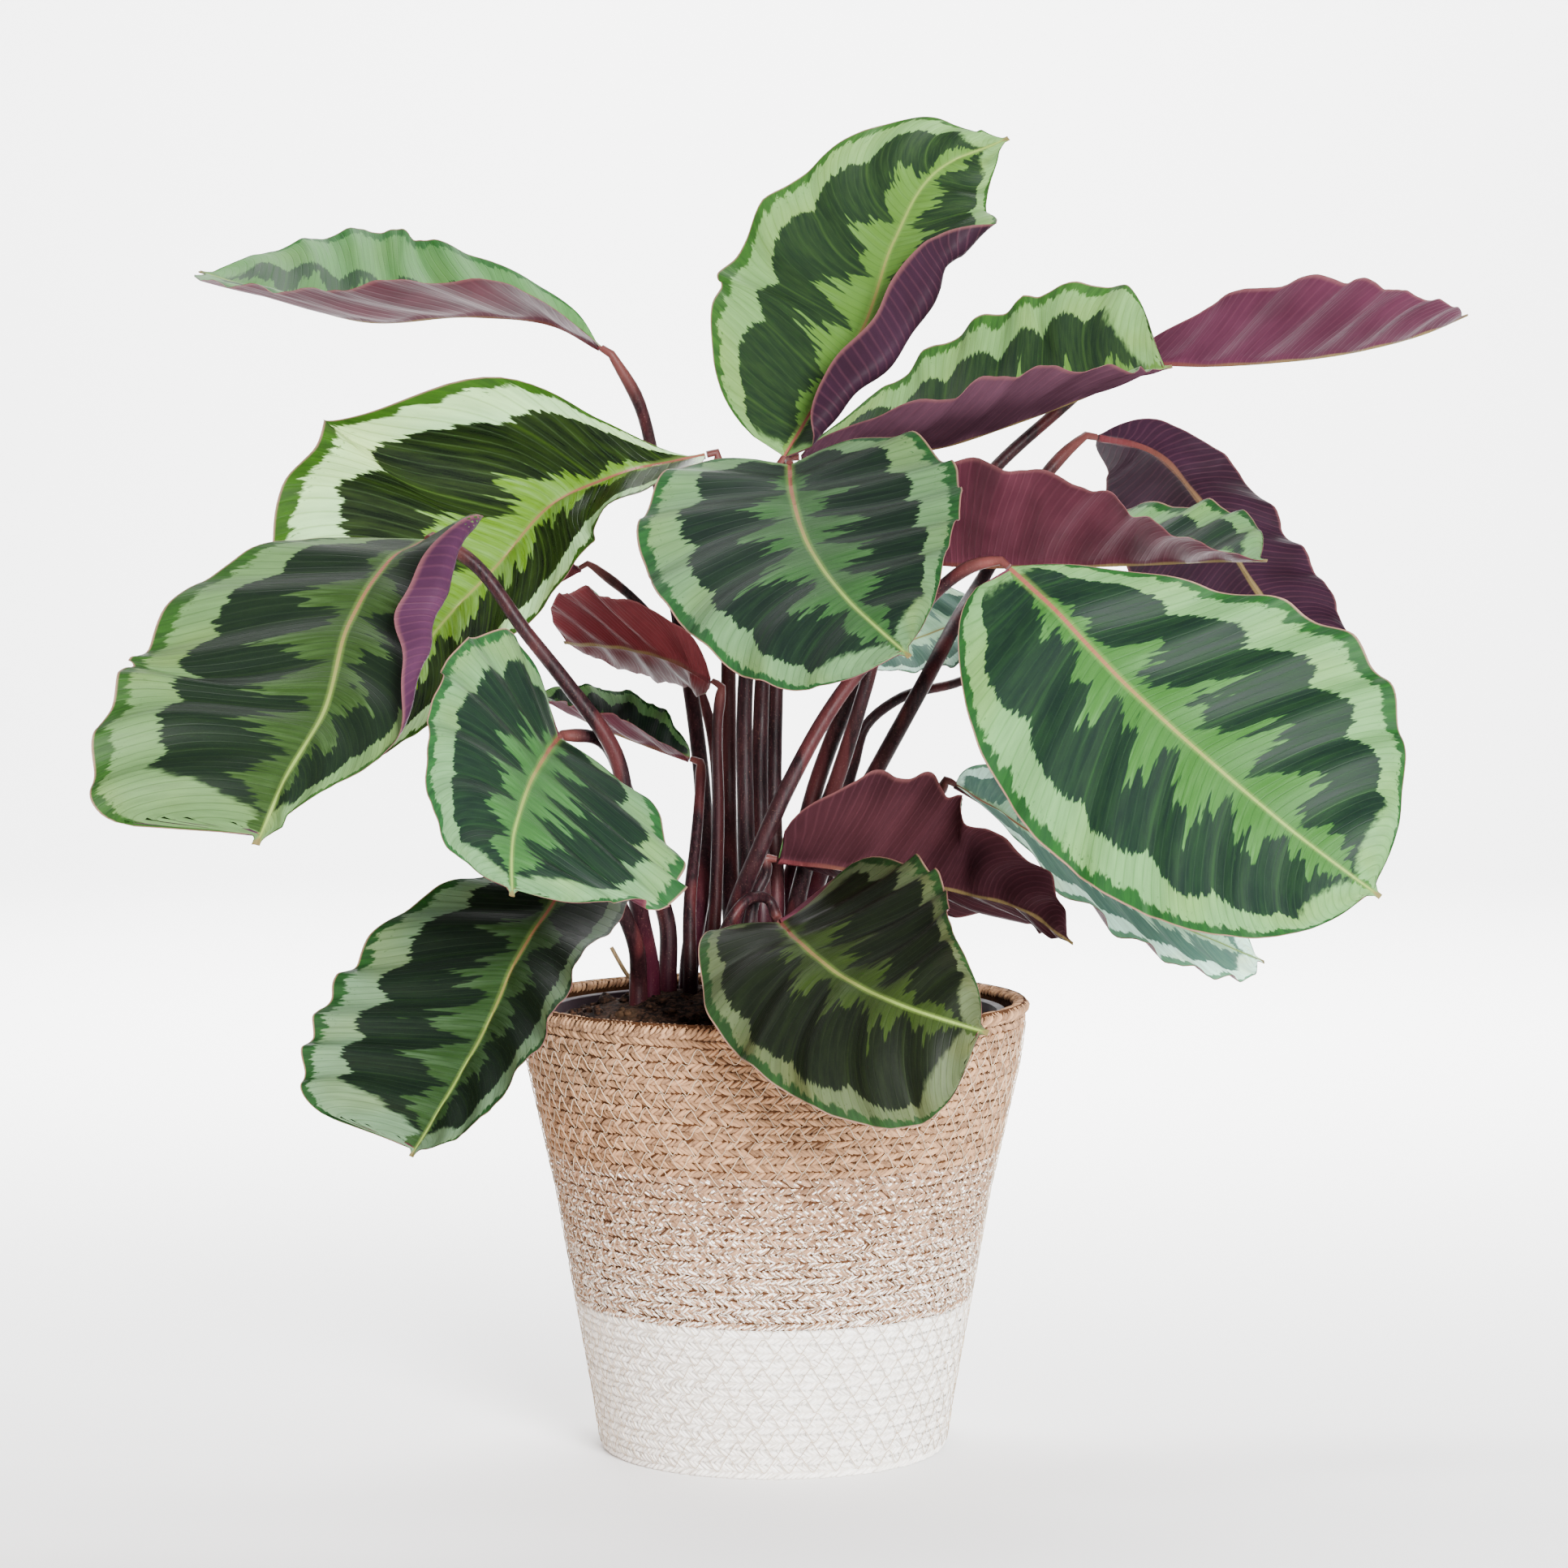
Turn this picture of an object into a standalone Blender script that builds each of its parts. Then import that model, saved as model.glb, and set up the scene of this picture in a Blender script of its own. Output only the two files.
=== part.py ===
"""Potted calathea: leaves on long stalks, in a nursery pot that stands in a braided jute basket.

The scene is in metres. The sizes below are in millimetres, and MM turns them into metres.
The origin is the centre of the basket's foot, +Z is up, and +Y points away from the plant's front.
"""

import math
from dataclasses import dataclass

import bmesh
import bpy
import numpy as np
from mathutils import Matrix, Vector, noise

MM = 0.001
SEAT_GAP = 0.3
TURN_STEPS = 28
MERGE_DISTANCE = 0.00005

# Basket: outer radius by height, and its braided rows
BASKET_OUTLINE = (
    (0, 75.0),
    (4, 75.7),
    (21.5, 78.3),
    (71.5, 87.2),
    (112.5, 94.3),
    (134.5, 99.3),
    (167.5, 106.7),
    (195, 110.6),
)
BASKET_HEIGHT = 195.0
BASKET_WALL = 6.0
BASKET_FOOT_RADIUS = 69.0
BAND_HEIGHT = 65.0
ROW_HEIGHT = 6.5
ROW_RELIEF = 1.2
RIM_BULGE = 0.8
RIM_ROUNDING = 2.0

# Nursery pot
POT_FLOOR_Z = 6.3
POT_TOP_Z = 190.0
POT_WALL = 1.2
POT_FLOOR = 2.0
POT_BOTTOM_RADIUS = 67.0
POT_TOP_RADIUS = 98.0
POT_LIP_RADIUS = 101.0
POT_LIP_HEIGHT = 6.0

# Soil: level at the pot, raised round the crown of the plant
SOIL_EDGE_Z = 184.0
SOIL_MOUND = 13.5
SOIL_CROWN = (-32.0, 0.0)
SOIL_MOUND_REACH = 50.0
SOIL_RING_RADII = (12, 26, 40, 54, 68, 82)
SOIL_CRUMBLE = 0.9
SOIL_CRUMB_SIZE = 14.0

# Stalks
FOOT_Z = 165.0
FOOT_TOP_Z = 201.0
STALK_SHAPE = ((0.0, 4.2), (0.15, 4.3), (0.35, 3.8), (0.6, 3.4), (0.92, 2.7), (1.0, 1.6))
STALK_POINTS = 9
STALK_END_GAP = 0.7
NECK_LENGTH = 5.0
HOLE_CLEARANCE = 0.3
HOLE_SIDES = 8
HOLE_TOP_Z = 215.0

# Blades
BLADE_THICKNESS = 0.8
BODY_END = 0.975
DRIP_TIP_WIDTH = 0.12
DRIP_TIP_LENGTH = 0.05
VEIN_SWEEP = 0.75
VEIN_BEND = 1.25
LEAST_HALF_WIDTH = 1.5
SCALLOP = 0.02
PLEAT = 1.2
CALM_END = 0.12
LOBE_REACH = 0.10
LOBE_GAIN = 2.2
ROLL_STEPS = 24
CREASE_WIDTH = 0.3
CREASE_CALM = 0.8
CURVE_SAMPLES = 200

# Dry stalk left from an older leaf
DRY_STALK_PATH = ((-60, 0, 172), (-60, 0, 200), (-64, -2, 206), (-70, -4, 217))
DRY_STALK_RADIUS = 1.2


@dataclass(frozen=True)
class Half:
    """One side of a blade, from midrib to margin. Angles are given at its base, middle and tip."""

    width: float
    fold: tuple
    curl: tuple
    peak: float = 1.1
    base_power: float = 0.55
    tip_power: float = 0.0
    lobe: float = 0.0
    tip_lobe: float = 0.0
    roll: float = 1.0
    crease: tuple = ()


@dataclass(frozen=True)
class Leaf:
    """One leaf: its midrib, the way that its upper face looks, its two sides and its stalk."""

    name: str
    rib: tuple
    facing: tuple
    left: Half
    right: Half
    foot: tuple
    stalk: tuple
    girth: float = 1.0
    ruffle: float = 2.8
    rows: int = 14
    columns: int = 4


LEAVES = (
    Leaf(
        name="top",
        rib=((5, 20, 429), (18, 30, 451), (40, 45, 487), (53, 60, 524), (71, 70, 555), (105, 80, 572)),
        facing=((-0.35, -1.0, 0.2), (-0.35, -1.0, 0.2), (-0.2, -1.0, 0.3)),
        left=Half(width=72, fold=(0, 0, 0), curl=(15, 5, 5), peak=0.85, base_power=0.6, tip_power=0.95),
        right=Half(width=55, fold=(40, 12, 8), curl=(140, 150, 150), base_power=0.3, tip_power=0.8,
                   crease=(0.42, 0.64, 1.1)),
        foot=(-5, 2),
        stalk=((-5, 6, 240), (-6, 10, 275), (-4, 20, 345), (2, 20, 402)),
        ruffle=2.0),
    Leaf(
        name="far_left",
        rib=((-77, 60, 478), (-95, 65, 488), (-133, 70, 493), (-183, 80, 491), (-229, 90, 504),
             (-260, 100, 514)),
        facing=((0.0, -0.25, 1.0), (0.0, -0.25, 1.0), (0.0, -0.25, 1.0)),
        left=Half(width=64, fold=(25, 18, 10), curl=(15, 12, 5), base_power=0.42, lobe=0.04),
        right=Half(width=68, fold=(25, 22, 12), curl=(15, 12, 5), peak=1.75, base_power=0.6),
        foot=(-37, 10),
        stalk=((-32, 25, 238), (-31, 48, 272), (-35, 68, 310), (-43, 82, 358), (-53, 78, 424),
               (-61, 65, 456)),
        ruffle=1.2),
    Leaf(
        name="upper_left",
        rib=((-30, 40, 430), (-69, 35, 421), (-97, 30, 408), (-119, 20, 383), (-144, 10, 356),
             (-169, 0, 321), (-196, -10, 290)),
        facing=((0.0, -0.8, 0.8), (0.0, -1.0, 0.35), (0.0, -1.0, 0.3)),
        left=Half(width=47, fold=(30, 30, 30), curl=(20, 20, 10), peak=0.8),
        right=Half(width=101, fold=(10, 0, 0), curl=(180, 170, 10), peak=0.95, base_power=2.0,
                   tip_power=0.85, crease=(0.7, 1.2, 1.2)),
        foot=(-17, 14),
        stalk=((-19, 30, 238), (-20, 45, 273), (-20, 50, 332), (-21, 45, 398), (-24, 42, 420)),
        ruffle=2.2),
    Leaf(
        name="left",
        rib=((-144, -60, 393), (-157, -90, 384), (-170, -120, 360), (-177, -160, 324),
             (-189, -185, 300), (-198, -200, 276)),
        facing=((-0.1, -0.5, 0.8), (0.05, -0.8, 0.6), (0.0, -1.0, 0.3)),
        left=Half(width=57, fold=(35, 5, 5), curl=(150, 160, 150), peak=0.68, base_power=0.8,
                  tip_power=1.0, lobe=0.03, crease=(0.8, 0.66, 0.5)),
        right=Half(width=79, fold=(0, 0, 0), curl=(10, 5, 5), peak=1.6, base_power=0.4, tip_power=0.1,
                   tip_lobe=0.07),
        foot=(-53, -6),
        stalk=((-57, -20, 232), (-61, -30, 257), (-67, -45, 304), (-86, -50, 332), (-103, -55, 354),
               (-126, -56, 384)),
        ruffle=1.8),
    Leaf(
        name="centre",
        rib=((7, 0, 425), (8, -40, 412), (16, -90, 388), (30, -125, 369), (54, -155, 347)),
        facing=((0.0, -0.4, 0.9), (0.0, -0.8, 0.6), (0.1, -1.0, 0.3)),
        left=Half(width=68, fold=(25, 10, 5), curl=(15, 10, 5), peak=0.95, lobe=0.03),
        right=Half(width=70, fold=(10, 5, 5), curl=(10, 5, 5), peak=1.15, base_power=0.45,
                   tip_power=0.32, lobe=0.03),
        foot=(-10, -9),
        stalk=((-11, -8, 241), (-12, -5, 276), (-12, 0, 331), (-3, 0, 402))),
    Leaf(
        name="right",
        rib=((99, -50, 381), (113, -60, 368), (144, -75, 335), (183, -90, 299), (215, -100, 272),
             (247, -110, 248)),
        facing=((0.1, -0.9, 0.4), (0.1, -1.0, 0.3), (0.1, -1.0, 0.2)),
        left=Half(width=79, fold=(5, 0, 0), curl=(10, 5, 5), peak=1.5),
        right=Half(width=78, fold=(5, 5, 5), curl=(10, 5, 5), peak=1.0, base_power=0.5, lobe=0.05),
        foot=(-22, -17),
        stalk=((-17, -24, 232), (-6, -34, 261), (6, -35, 288), (38, -30, 339), (57, -35, 357),
               (71, -40, 373), (84, -45, 382))),
    Leaf(
        name="tongue",
        rib=((-90, -50, 310), (-93, -90, 305), (-99, -140, 290), (-102, -170, 272), (-101, -185, 255)),
        facing=((0.0, -0.4, 1.0), (0.0, -0.6, 0.8), (0.0, -1.0, 0.4)),
        left=Half(width=74, fold=(-25, -33, -33), curl=(5, 5, 5), peak=1.3, tip_power=0.3),
        right=Half(width=61, fold=(70, 52, 32), curl=(20, 10, 5), peak=0.95, base_power=0.45,
                   lobe=0.05),
        foot=(-46, 4),
        stalk=((-46, 4, 226), (-52, 0, 247), (-62, -15, 283), (-75, -35, 309))),
    Leaf(
        name="lower_left",
        rib=((-79, -50, 260), (-92, -70, 241), (-105, -85, 221), (-117, -100, 194), (-131, -115, 169),
             (-146, -125, 144)),
        facing=((-0.3, -0.8, 0.6), (-0.3, -1.0, 0.3), (-0.3, -1.0, 0.1)),
        left=Half(width=64, fold=(18, 38, 40), curl=(10, 15, 10), peak=0.85),
        right=Half(width=68, fold=(0, 0, 0), curl=(10, 5, 5), peak=1.5, base_power=0.42,
                   tip_power=0.12, tip_lobe=0.04),
        foot=(-58, -16),
        stalk=((-59, -30, 222), (-64, -36, 236), (-69, -42, 249), (-73, -46, 256)),
        ruffle=2.0),
    Leaf(
        name="lower_right",
        rib=((3, -39, 231), (11, -84, 227), (29, -119, 216), (55, -151, 207), (85, -165, 199)),
        facing=((0.0, -0.7, 0.8), (0.1, -0.9, 0.5), (0.1, -1.0, 0.2)),
        left=Half(width=62, fold=(20, 5, 5), curl=(15, 10, 5), peak=0.62, base_power=0.3,
                  tip_power=0.5, lobe=0.11),
        right=Half(width=57, fold=(10, 0, 0), curl=(10, 5, 5), peak=1.3, base_power=0.5, tip_power=0.2,
                   lobe=0.02),
        foot=(-27, -30),
        girth=0.8,
        stalk=((-22, -38, 223), (-18, -42, 232), (-10, -38, 241), (-2, -31, 240))),
    Leaf(
        name="upper_right",
        rib=((12, 30, 429), (38, 30, 431), (73, 35, 434), (102, 40, 443), (135, 45, 455),
             (160, 50, 465), (176, 50, 469)),
        facing=((-0.1, -0.25, 1.0), (-0.2, -0.25, 1.0), (0.0, -0.25, 1.0)),
        left=Half(width=63, fold=(28, 26, 34), curl=(15, 15, 20), peak=1.5, base_power=0.5,
                  tip_power=0.14),
        right=Half(width=66, fold=(30, 25, 10), curl=(15, 15, 20), peak=1.1),
        foot=(0, 15),
        stalk=((1, 22, 238), (0, 30, 274), (1, 35, 329), (4, 35, 398)),
        ruffle=1.8),
    Leaf(
        name="far_right",
        rib=((162, 100, 475), (183, 105, 473), (224, 110, 474), (270, 120, 480), (300, 125, 488),
             (319, 130, 496)),
        facing=((0.0, 0.0, 1.0), (0.0, 0.0, 1.0), (0.0, 0.0, 1.0)),
        left=Half(width=58, fold=(10, 10, 10), curl=(10, 10, 10)),
        right=Half(width=60, fold=(27, 27, 20), curl=(15, 15, 10), peak=0.9),
        foot=(-6, 27),
        stalk=((8, 40, 244), (21, 45, 291), (35, 38, 326), (52, 45, 355), (68, 68, 384),
               (104, 98, 429), (131, 100, 453), (146, 100, 467)),
        ruffle=1.2),
    Leaf(
        name="mid_right",
        rib=((63, 25, 384), (87, 10, 382), (121, 0, 382), (164, -10, 383), (189, -20, 384),
             (209, -30, 384)),
        facing=((0.0, -0.05, 1.0), (0.0, -0.05, 1.0), (0.0, -0.05, 1.0)),
        left=Half(width=60, fold=(20, 15, 25), curl=(10, 10, 10), peak=1.5),
        right=Half(width=63, fold=(55, 33, 10), curl=(15, 10, 10), peak=0.75),
        foot=(6, 3),
        stalk=((13, 24, 246), (29, 24, 292), (40, 18, 328), (52, 22, 370)),
        ruffle=1.8),
    Leaf(
        name="back_right",
        rib=((147, 100, 439), (172, 110, 433), (197, 125, 409), (228, 140, 364), (268, 150, 323)),
        facing=((0.2, 0.8, 0.7), (0.2, 1.0, 0.4), (0.2, 1.0, 0.2)),
        left=Half(width=62, fold=(20, 20, 10), curl=(10, 10, 10), peak=1.2),
        right=Half(width=41, fold=(78, 60, 40), curl=(15, 15, 10), peak=1.4),
        foot=(11, 13),
        stalk=((20, 35, 245), (45, 36, 291), (69, 26, 336), (81, 46, 357), (94, 72, 376),
               (121, 88, 420), (135, 94, 435))),
    Leaf(
        name="low_back",
        rib=((81, 50, 284), (100, 60, 272), (137, 70, 247), (179, 80, 221), (223, 90, 201)),
        facing=((0.1, -0.3, 1.0), (0.1, -0.3, 1.0), (0.1, -0.3, 1.0)),
        left=Half(width=55, fold=(25, 20, 15), curl=(10, 10, 10)),
        right=Half(width=45, fold=(0, -5, -8), curl=(0, 0, 0), tip_power=0.35),
        foot=(14, 28),
        girth=0.85,
        stalk=((21, 55, 232), (35, 65, 255), (57, 60, 273), (74, 52, 281))),
    Leaf(
        name="low_purple",
        rib=((2, -17, 256), (44, -11, 250), (82, -17, 242), (106, -29, 236), (127, -39, 222)),
        facing=((0.0, 0.5, 0.85), (0.0, 0.5, 0.85), (0.0, 0.5, 0.85)),
        left=Half(width=48, fold=(12, 10, 10), curl=(5, 5, 5), peak=1.4, base_power=0.9),
        right=Half(width=60, fold=(20, 15, 10), curl=(10, 10, 10), peak=0.85, lobe=0.04),
        foot=(-12, -21),
        girth=0.85,
        stalk=((-11, -19, 224), (-7, -18, 242), (-3, -17, 251))),
    Leaf(
        name="back_red",
        rib=((-27, 10, 332), (-42, 18, 340), (-62, 35, 345), (-93, 60, 347)),
        facing=((0.0, 0.63, 0.78), (0.0, 0.63, 0.78), (0.0, 0.63, 0.78)),
        left=Half(width=40, fold=(5, 5, 5), curl=(5, 5, 5), tip_power=0.35),
        right=Half(width=42, fold=(5, 5, 5), curl=(5, 5, 5)),
        foot=(-27, 3),
        girth=0.8,
        stalk=((-25, 10, 239), (-24, 12, 275), (-24, 10, 317)),
        ruffle=1.0,
        rows=10,
        columns=3),
    Leaf(
        name="rolled",
        rib=((-37, 30, 297), (-55, 35, 303), (-80, 45, 312), (-107, 50, 325)),
        facing=((0.0, -0.3, 1.0), (0.0, -0.3, 1.0), (0.0, -0.3, 1.0)),
        left=Half(width=30, fold=(30, 30, 20), curl=(20, 20, 10)),
        right=Half(width=30, fold=(4, 4, 4), curl=(15, 15, 20)),
        foot=(-36, -6),
        girth=0.8,
        stalk=((-36, 5, 240), (-34, 15, 260), (-32, 26, 288)),
        ruffle=1.0,
        rows=10,
        columns=3),
    Leaf(
        name="behind_left",
        rib=((-87, 70, 380), (-103, 80, 371), (-119, 90, 362), (-132, 100, 351), (-146, 110, 346)),
        facing=((0.0, 0.1, 1.0), (0.0, 0.1, 1.0), (0.0, 0.1, 1.0)),
        left=Half(width=45, fold=(45, 45, 40), curl=(15, 15, 15)),
        right=Half(width=45, fold=(20, 20, 20), curl=(5, 5, 5)),
        foot=(-28, 22),
        girth=0.75,
        stalk=((-28, 42, 237), (-25, 70, 271), (-34, 92, 325), (-60, 84, 363)),
        ruffle=1.0,
        rows=10,
        columns=3),
    Leaf(
        name="striped",
        rib=((99, 95, 361), (83, 85, 355), (61, 75, 347), (39, 65, 336)),
        facing=((0.0, -0.5, 1.0), (0.0, -0.5, 1.0), (0.0, -0.5, 1.0)),
        left=Half(width=50, fold=(10, 10, 10), curl=(10, 10, 10)),
        right=Half(width=50, fold=(10, 10, 10), curl=(10, 10, 10)),
        foot=(22, 15),
        girth=0.75,
        stalk=((24, 50, 243), (36, 82, 291), (42, 90, 309), (57, 90, 321), (84, 100, 328),
               (103, 105, 337), (107, 100, 352)),
        ruffle=1.5,
        rows=10,
        columns=3),
)


def smooth_curve(points, share, start=None, end=None):
    """Curve through the points at the given shares of its chord length, with set end directions."""
    points = np.asarray(points, float)
    knots = np.concatenate([[0], np.cumsum(np.linalg.norm(np.diff(points, axis=0), axis=1))])
    slopes = np.gradient(points, knots, axis=0)
    if start is not None:
        slopes[0] = start
    if end is not None:
        slopes[-1] = end
    place = np.asarray(share) * knots[-1]
    i = np.clip(np.searchsorted(knots, place, side="right") - 1, 0, len(points) - 2)
    span = (knots[i + 1] - knots[i])[:, None]
    f = (place - knots[i])[:, None] / span
    near = (2 * f**3 - 3 * f**2 + 1) * points[i] + (f**3 - 2 * f**2 + f) * span * slopes[i]
    far = (3 * f**2 - 2 * f**3) * points[i + 1] + (f**3 - f**2) * span * slopes[i + 1]
    return near + far


def along(curve):
    """Length along a curve at each of its points."""
    return np.concatenate([[0], np.cumsum(np.linalg.norm(np.diff(curve, axis=0), axis=1))])


def read_at(curve, lengths, place):
    """Values of a curve, or of any rows beside it, at the given lengths."""
    return np.stack([np.interp(place, lengths, column) for column in curve.T], axis=1)


def unit(rows):
    """Rows scaled to length one."""
    return rows / np.linalg.norm(rows, axis=1)[:, None]


def eased(x):
    """Half straight, half smooth step from 0 to 1."""
    x = np.clip(x, 0, 1)
    return 0.5 * x * x * (3 - 2 * x) + 0.5 * x


def blend(values, t):
    """Value at t along the midrib, from those at its base, middle and tip."""
    base, middle, tip = (np.asarray(value, float) for value in values)
    if base.ndim:
        t = t[:, None]
    first = base + (middle - base) * eased(2 * t)
    second = middle + (tip - middle) * eased(2 * t - 1)
    return np.where(t < 0.5, first, second)


def outline(half, t):
    """Half width over the largest one, at t along the midrib, down to the drawn-out tip."""
    swell = np.clip(t / BODY_END, 0, 1) ** half.peak
    bulge = np.sin(math.pi * swell).clip(0)
    body = np.where(swell < 0.5, bulge**half.base_power, bulge ** (half.tip_power or half.base_power))
    drip_tip = DRIP_TIP_WIDTH * np.clip((1 - t) / DRIP_TIP_LENGTH, 0, 1) ** 1.3 * (t > 0.5)
    return np.maximum(body, drip_tip)


def bend_share(half, t, share):
    """Share of a side's curl reached at a share of its width: gradual, or at a crease."""
    if not half.crease:
        return share**half.roll
    step = np.clip((share - blend(half.crease, t)) / CREASE_WIDTH + 0.5, 0, 1)
    return step * step * (3 - 2 * step)


def roll_across(half, t, x):
    """How far out and up a point lies that is x along the side's curve, and the slope there."""
    fold = np.radians(blend(half.fold, t))
    curl = np.radians(blend(half.curl, t))
    steps = (np.arange(ROLL_STEPS) + 0.5) / ROLL_STEPS
    share = x / half.width
    bent = [bend_share(half, t, step * share) for step in steps]
    angle = fold[:, None] + curl[:, None] * np.stack(bent, axis=1)
    slope = fold + curl * bend_share(half, t, share)
    return x * np.cos(angle).mean(axis=1), x * np.sin(angle).mean(axis=1), slope


def blade_side(leaf, half, side, tau, s):
    """Points of one side of a blade: tau runs along the midrib, s from it to the margin."""
    t = tau + VEIN_SWEEP * tau * (1 - tau) * s**VEIN_BEND
    rib = smooth_curve(leaf.rib, np.linspace(0, 1, CURVE_SAMPLES))
    lengths = along(rib)
    place = t * lengths[-1]
    forward = unit(read_at(np.gradient(rib, lengths, axis=0), lengths, place))
    up = blend(leaf.facing, t)
    up = unit(up - (up * forward).sum(axis=1)[:, None] * forward)
    outward = side * np.cross(forward, up)

    size = outline(half, t)
    calm = np.clip(np.minimum(tau, 1 - tau) / CALM_END, 0, 1)
    turn = math.pi * (leaf.rows * tau + 0.5)
    width = np.maximum(half.width * size, LEAST_HALF_WIDTH) * (1 + SCALLOP * calm * np.sin(turn))
    out, rise, slope = roll_across(half, t, s * width)
    wave = leaf.ruffle * size * s**2.5 + PLEAT * np.sin(math.pi * s**0.7)
    wave = wave * calm * np.sin(turn)
    if half.crease:
        wave = wave * (1 - CREASE_CALM * bend_share(half, t, s * width / half.width))
    out = out - np.sin(slope) * wave
    rise = rise + np.cos(slope) * wave
    swell = lengths[-1] * size * LOBE_GAIN * s**2
    set_back = half.lobe * swell * np.exp(-t / LOBE_REACH)
    set_on = half.tip_lobe * swell * np.exp((t - 1) / LOBE_REACH)
    start, end = unit(np.diff(rib, axis=0)[[0, -1]])
    points = read_at(rib, lengths, place) - set_back[:, None] * start + set_on[:, None] * end
    return points + out[:, None] * outward + rise[:, None] * up


def stalk_path(leaf):
    """Centre line of a stalk, from its foot in the soil to just short of the blade."""
    rib = smooth_curve(leaf.rib, np.linspace(0, 1, CURVE_SAMPLES))
    forward = unit(np.diff(rib[:2], axis=0))[0]
    end = rib[0] - STALK_END_GAP * forward
    neck = end - NECK_LENGTH * forward
    curve = smooth_curve([(*leaf.foot, FOOT_TOP_Z), *leaf.stalk, neck],
                         np.linspace(0, 1, CURVE_SAMPLES), start=(0, 0, 1))
    lengths = along(curve)
    path = read_at(curve, lengths, np.linspace(0, lengths[-1], STALK_POINTS))
    return np.concatenate([[(*leaf.foot, FOOT_Z)], path, [end]])


def stalk_radii(leaf, path):
    """Radius at each point of a leaf's stalk, which is stoutest at its sheath."""
    lengths = along(path)
    shares, radii = zip(*STALK_SHAPE)
    return leaf.girth * np.interp(lengths / lengths[-1], shares, radii)


def make_material(name, colour, roughness):
    """Material with a Principled shader."""
    material = bpy.data.materials.new(name)
    material.use_nodes = True
    shader = material.node_tree.nodes["Principled BSDF"]
    shader.inputs["Base Color"].default_value = (*colour, 1)
    shader.inputs["Roughness"].default_value = roughness
    shader.inputs["Metallic"].default_value = 0
    return material


def add_object(name, mesh, material, collection, location=(0, 0, 0)):
    """Object with one material, linked to a collection."""
    mesh.materials.clear()
    mesh.materials.append(material)
    thing = bpy.data.objects.new(name, mesh)
    thing.location = Vector(location)
    collection.objects.link(thing)
    return thing


def read_mesh(thing):
    """The mesh of an object as its modifiers leave it, welded."""
    bpy.context.view_layer.update()
    depsgraph = bpy.context.evaluated_depsgraph_get()
    mesh = bpy.data.meshes.new_from_object(thing.evaluated_get(depsgraph), depsgraph=depsgraph)
    bm = bmesh.new()
    bm.from_mesh(mesh)
    bmesh.ops.remove_doubles(bm, verts=bm.verts, dist=MERGE_DISTANCE)
    bmesh.ops.recalc_face_normals(bm, faces=bm.faces)
    bm.to_mesh(mesh)
    bm.free()
    return mesh


def shade_round(mesh, angle=40):
    """Smooth shading, with edges over the angle left sharp."""
    mesh.shade_smooth()
    mesh.set_sharp_from_angle(angle=math.radians(angle))


def add_turned(name, profile, closed, material, collection):
    """Shape turned round Z from a profile of radius and height that runs down its outer side."""
    mesh = bpy.data.meshes.new(name)
    count = len(profile)
    edges = [(i, i + 1) for i in range(count - 1)]
    if closed:
        edges.append((count - 1, 0))
    mesh.from_pydata([(radius * MM, 0, z * MM) for radius, z in profile], edges, [])
    thing = add_object(name, mesh, material, collection)
    screw = thing.modifiers.new("turn", "SCREW")
    screw.angle = math.tau
    screw.steps = TURN_STEPS
    screw.render_steps = TURN_STEPS
    screw.use_merge_vertices = True
    screw.merge_threshold = MERGE_DISTANCE
    return thing


def basket_radius(z):
    """Outer radius of the basket at a height."""
    heights, radii = zip(*BASKET_OUTLINE)
    return float(np.interp(z, heights, radii))


def braided_rows(low, high):
    """Outer profile of a band, top to bottom: a ridge for each braided row and a groove between."""
    rows = round((high - low) / ROW_HEIGHT)
    pitch = (high - low) / rows
    profile = [(basket_radius(high) - ROW_RELIEF, high)]
    for row in range(rows):
        ridge = high - (row + 0.5) * pitch
        groove = high - (row + 1) * pitch
        profile.append((basket_radius(ridge), ridge))
        profile.append((basket_radius(groove) - ROW_RELIEF, groove))
    return profile


def inner_wall(low, high):
    """Inner profile of a band, bottom to top."""
    middle = (low + high) / 2
    return [(basket_radius(z) - BASKET_WALL, z) for z in (low, middle, high)]


def build_basket(collection):
    """The basket's three bands: a white cup, a mixed ring and a natural ring with its rim."""
    white = make_material("jute_white", (0.70, 0.66, 0.58), 0.95)
    mixed = make_material("jute_mixed", (0.55, 0.42, 0.28), 0.95)
    natural = make_material("jute_natural", (0.47, 0.33, 0.20), 0.95)

    cup = [(0, BASKET_WALL), *inner_wall(BASKET_WALL, BAND_HEIGHT), *braided_rows(0, BAND_HEIGHT)[:-1]]
    cup += [(BASKET_FOOT_RADIUS, 0), (0, 0)]
    add_turned("basket_lower_white", cup, False, white, collection)

    low = BAND_HEIGHT + SEAT_GAP
    ring = braided_rows(low, 2 * BAND_HEIGHT) + inner_wall(low, 2 * BAND_HEIGHT)
    add_turned("basket_middle_mixed", ring, True, mixed, collection)

    low = 2 * BAND_HEIGHT + SEAT_GAP
    rim = BASKET_HEIGHT - ROW_HEIGHT
    radius = basket_radius(BASKET_HEIGHT)
    roll = [
        (radius - BASKET_WALL + RIM_ROUNDING, BASKET_HEIGHT),
        (radius - RIM_ROUNDING, BASKET_HEIGHT),
        (radius + RIM_BULGE / 2, BASKET_HEIGHT - RIM_ROUNDING),
        (radius + RIM_BULGE, BASKET_HEIGHT - 2 * RIM_ROUNDING),
    ]
    inside = inner_wall(low, rim) + [(radius - BASKET_WALL, BASKET_HEIGHT - RIM_ROUNDING)]
    add_turned("basket_upper_natural", roll + braided_rows(low, rim) + inside, True, natural,
               collection)


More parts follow.
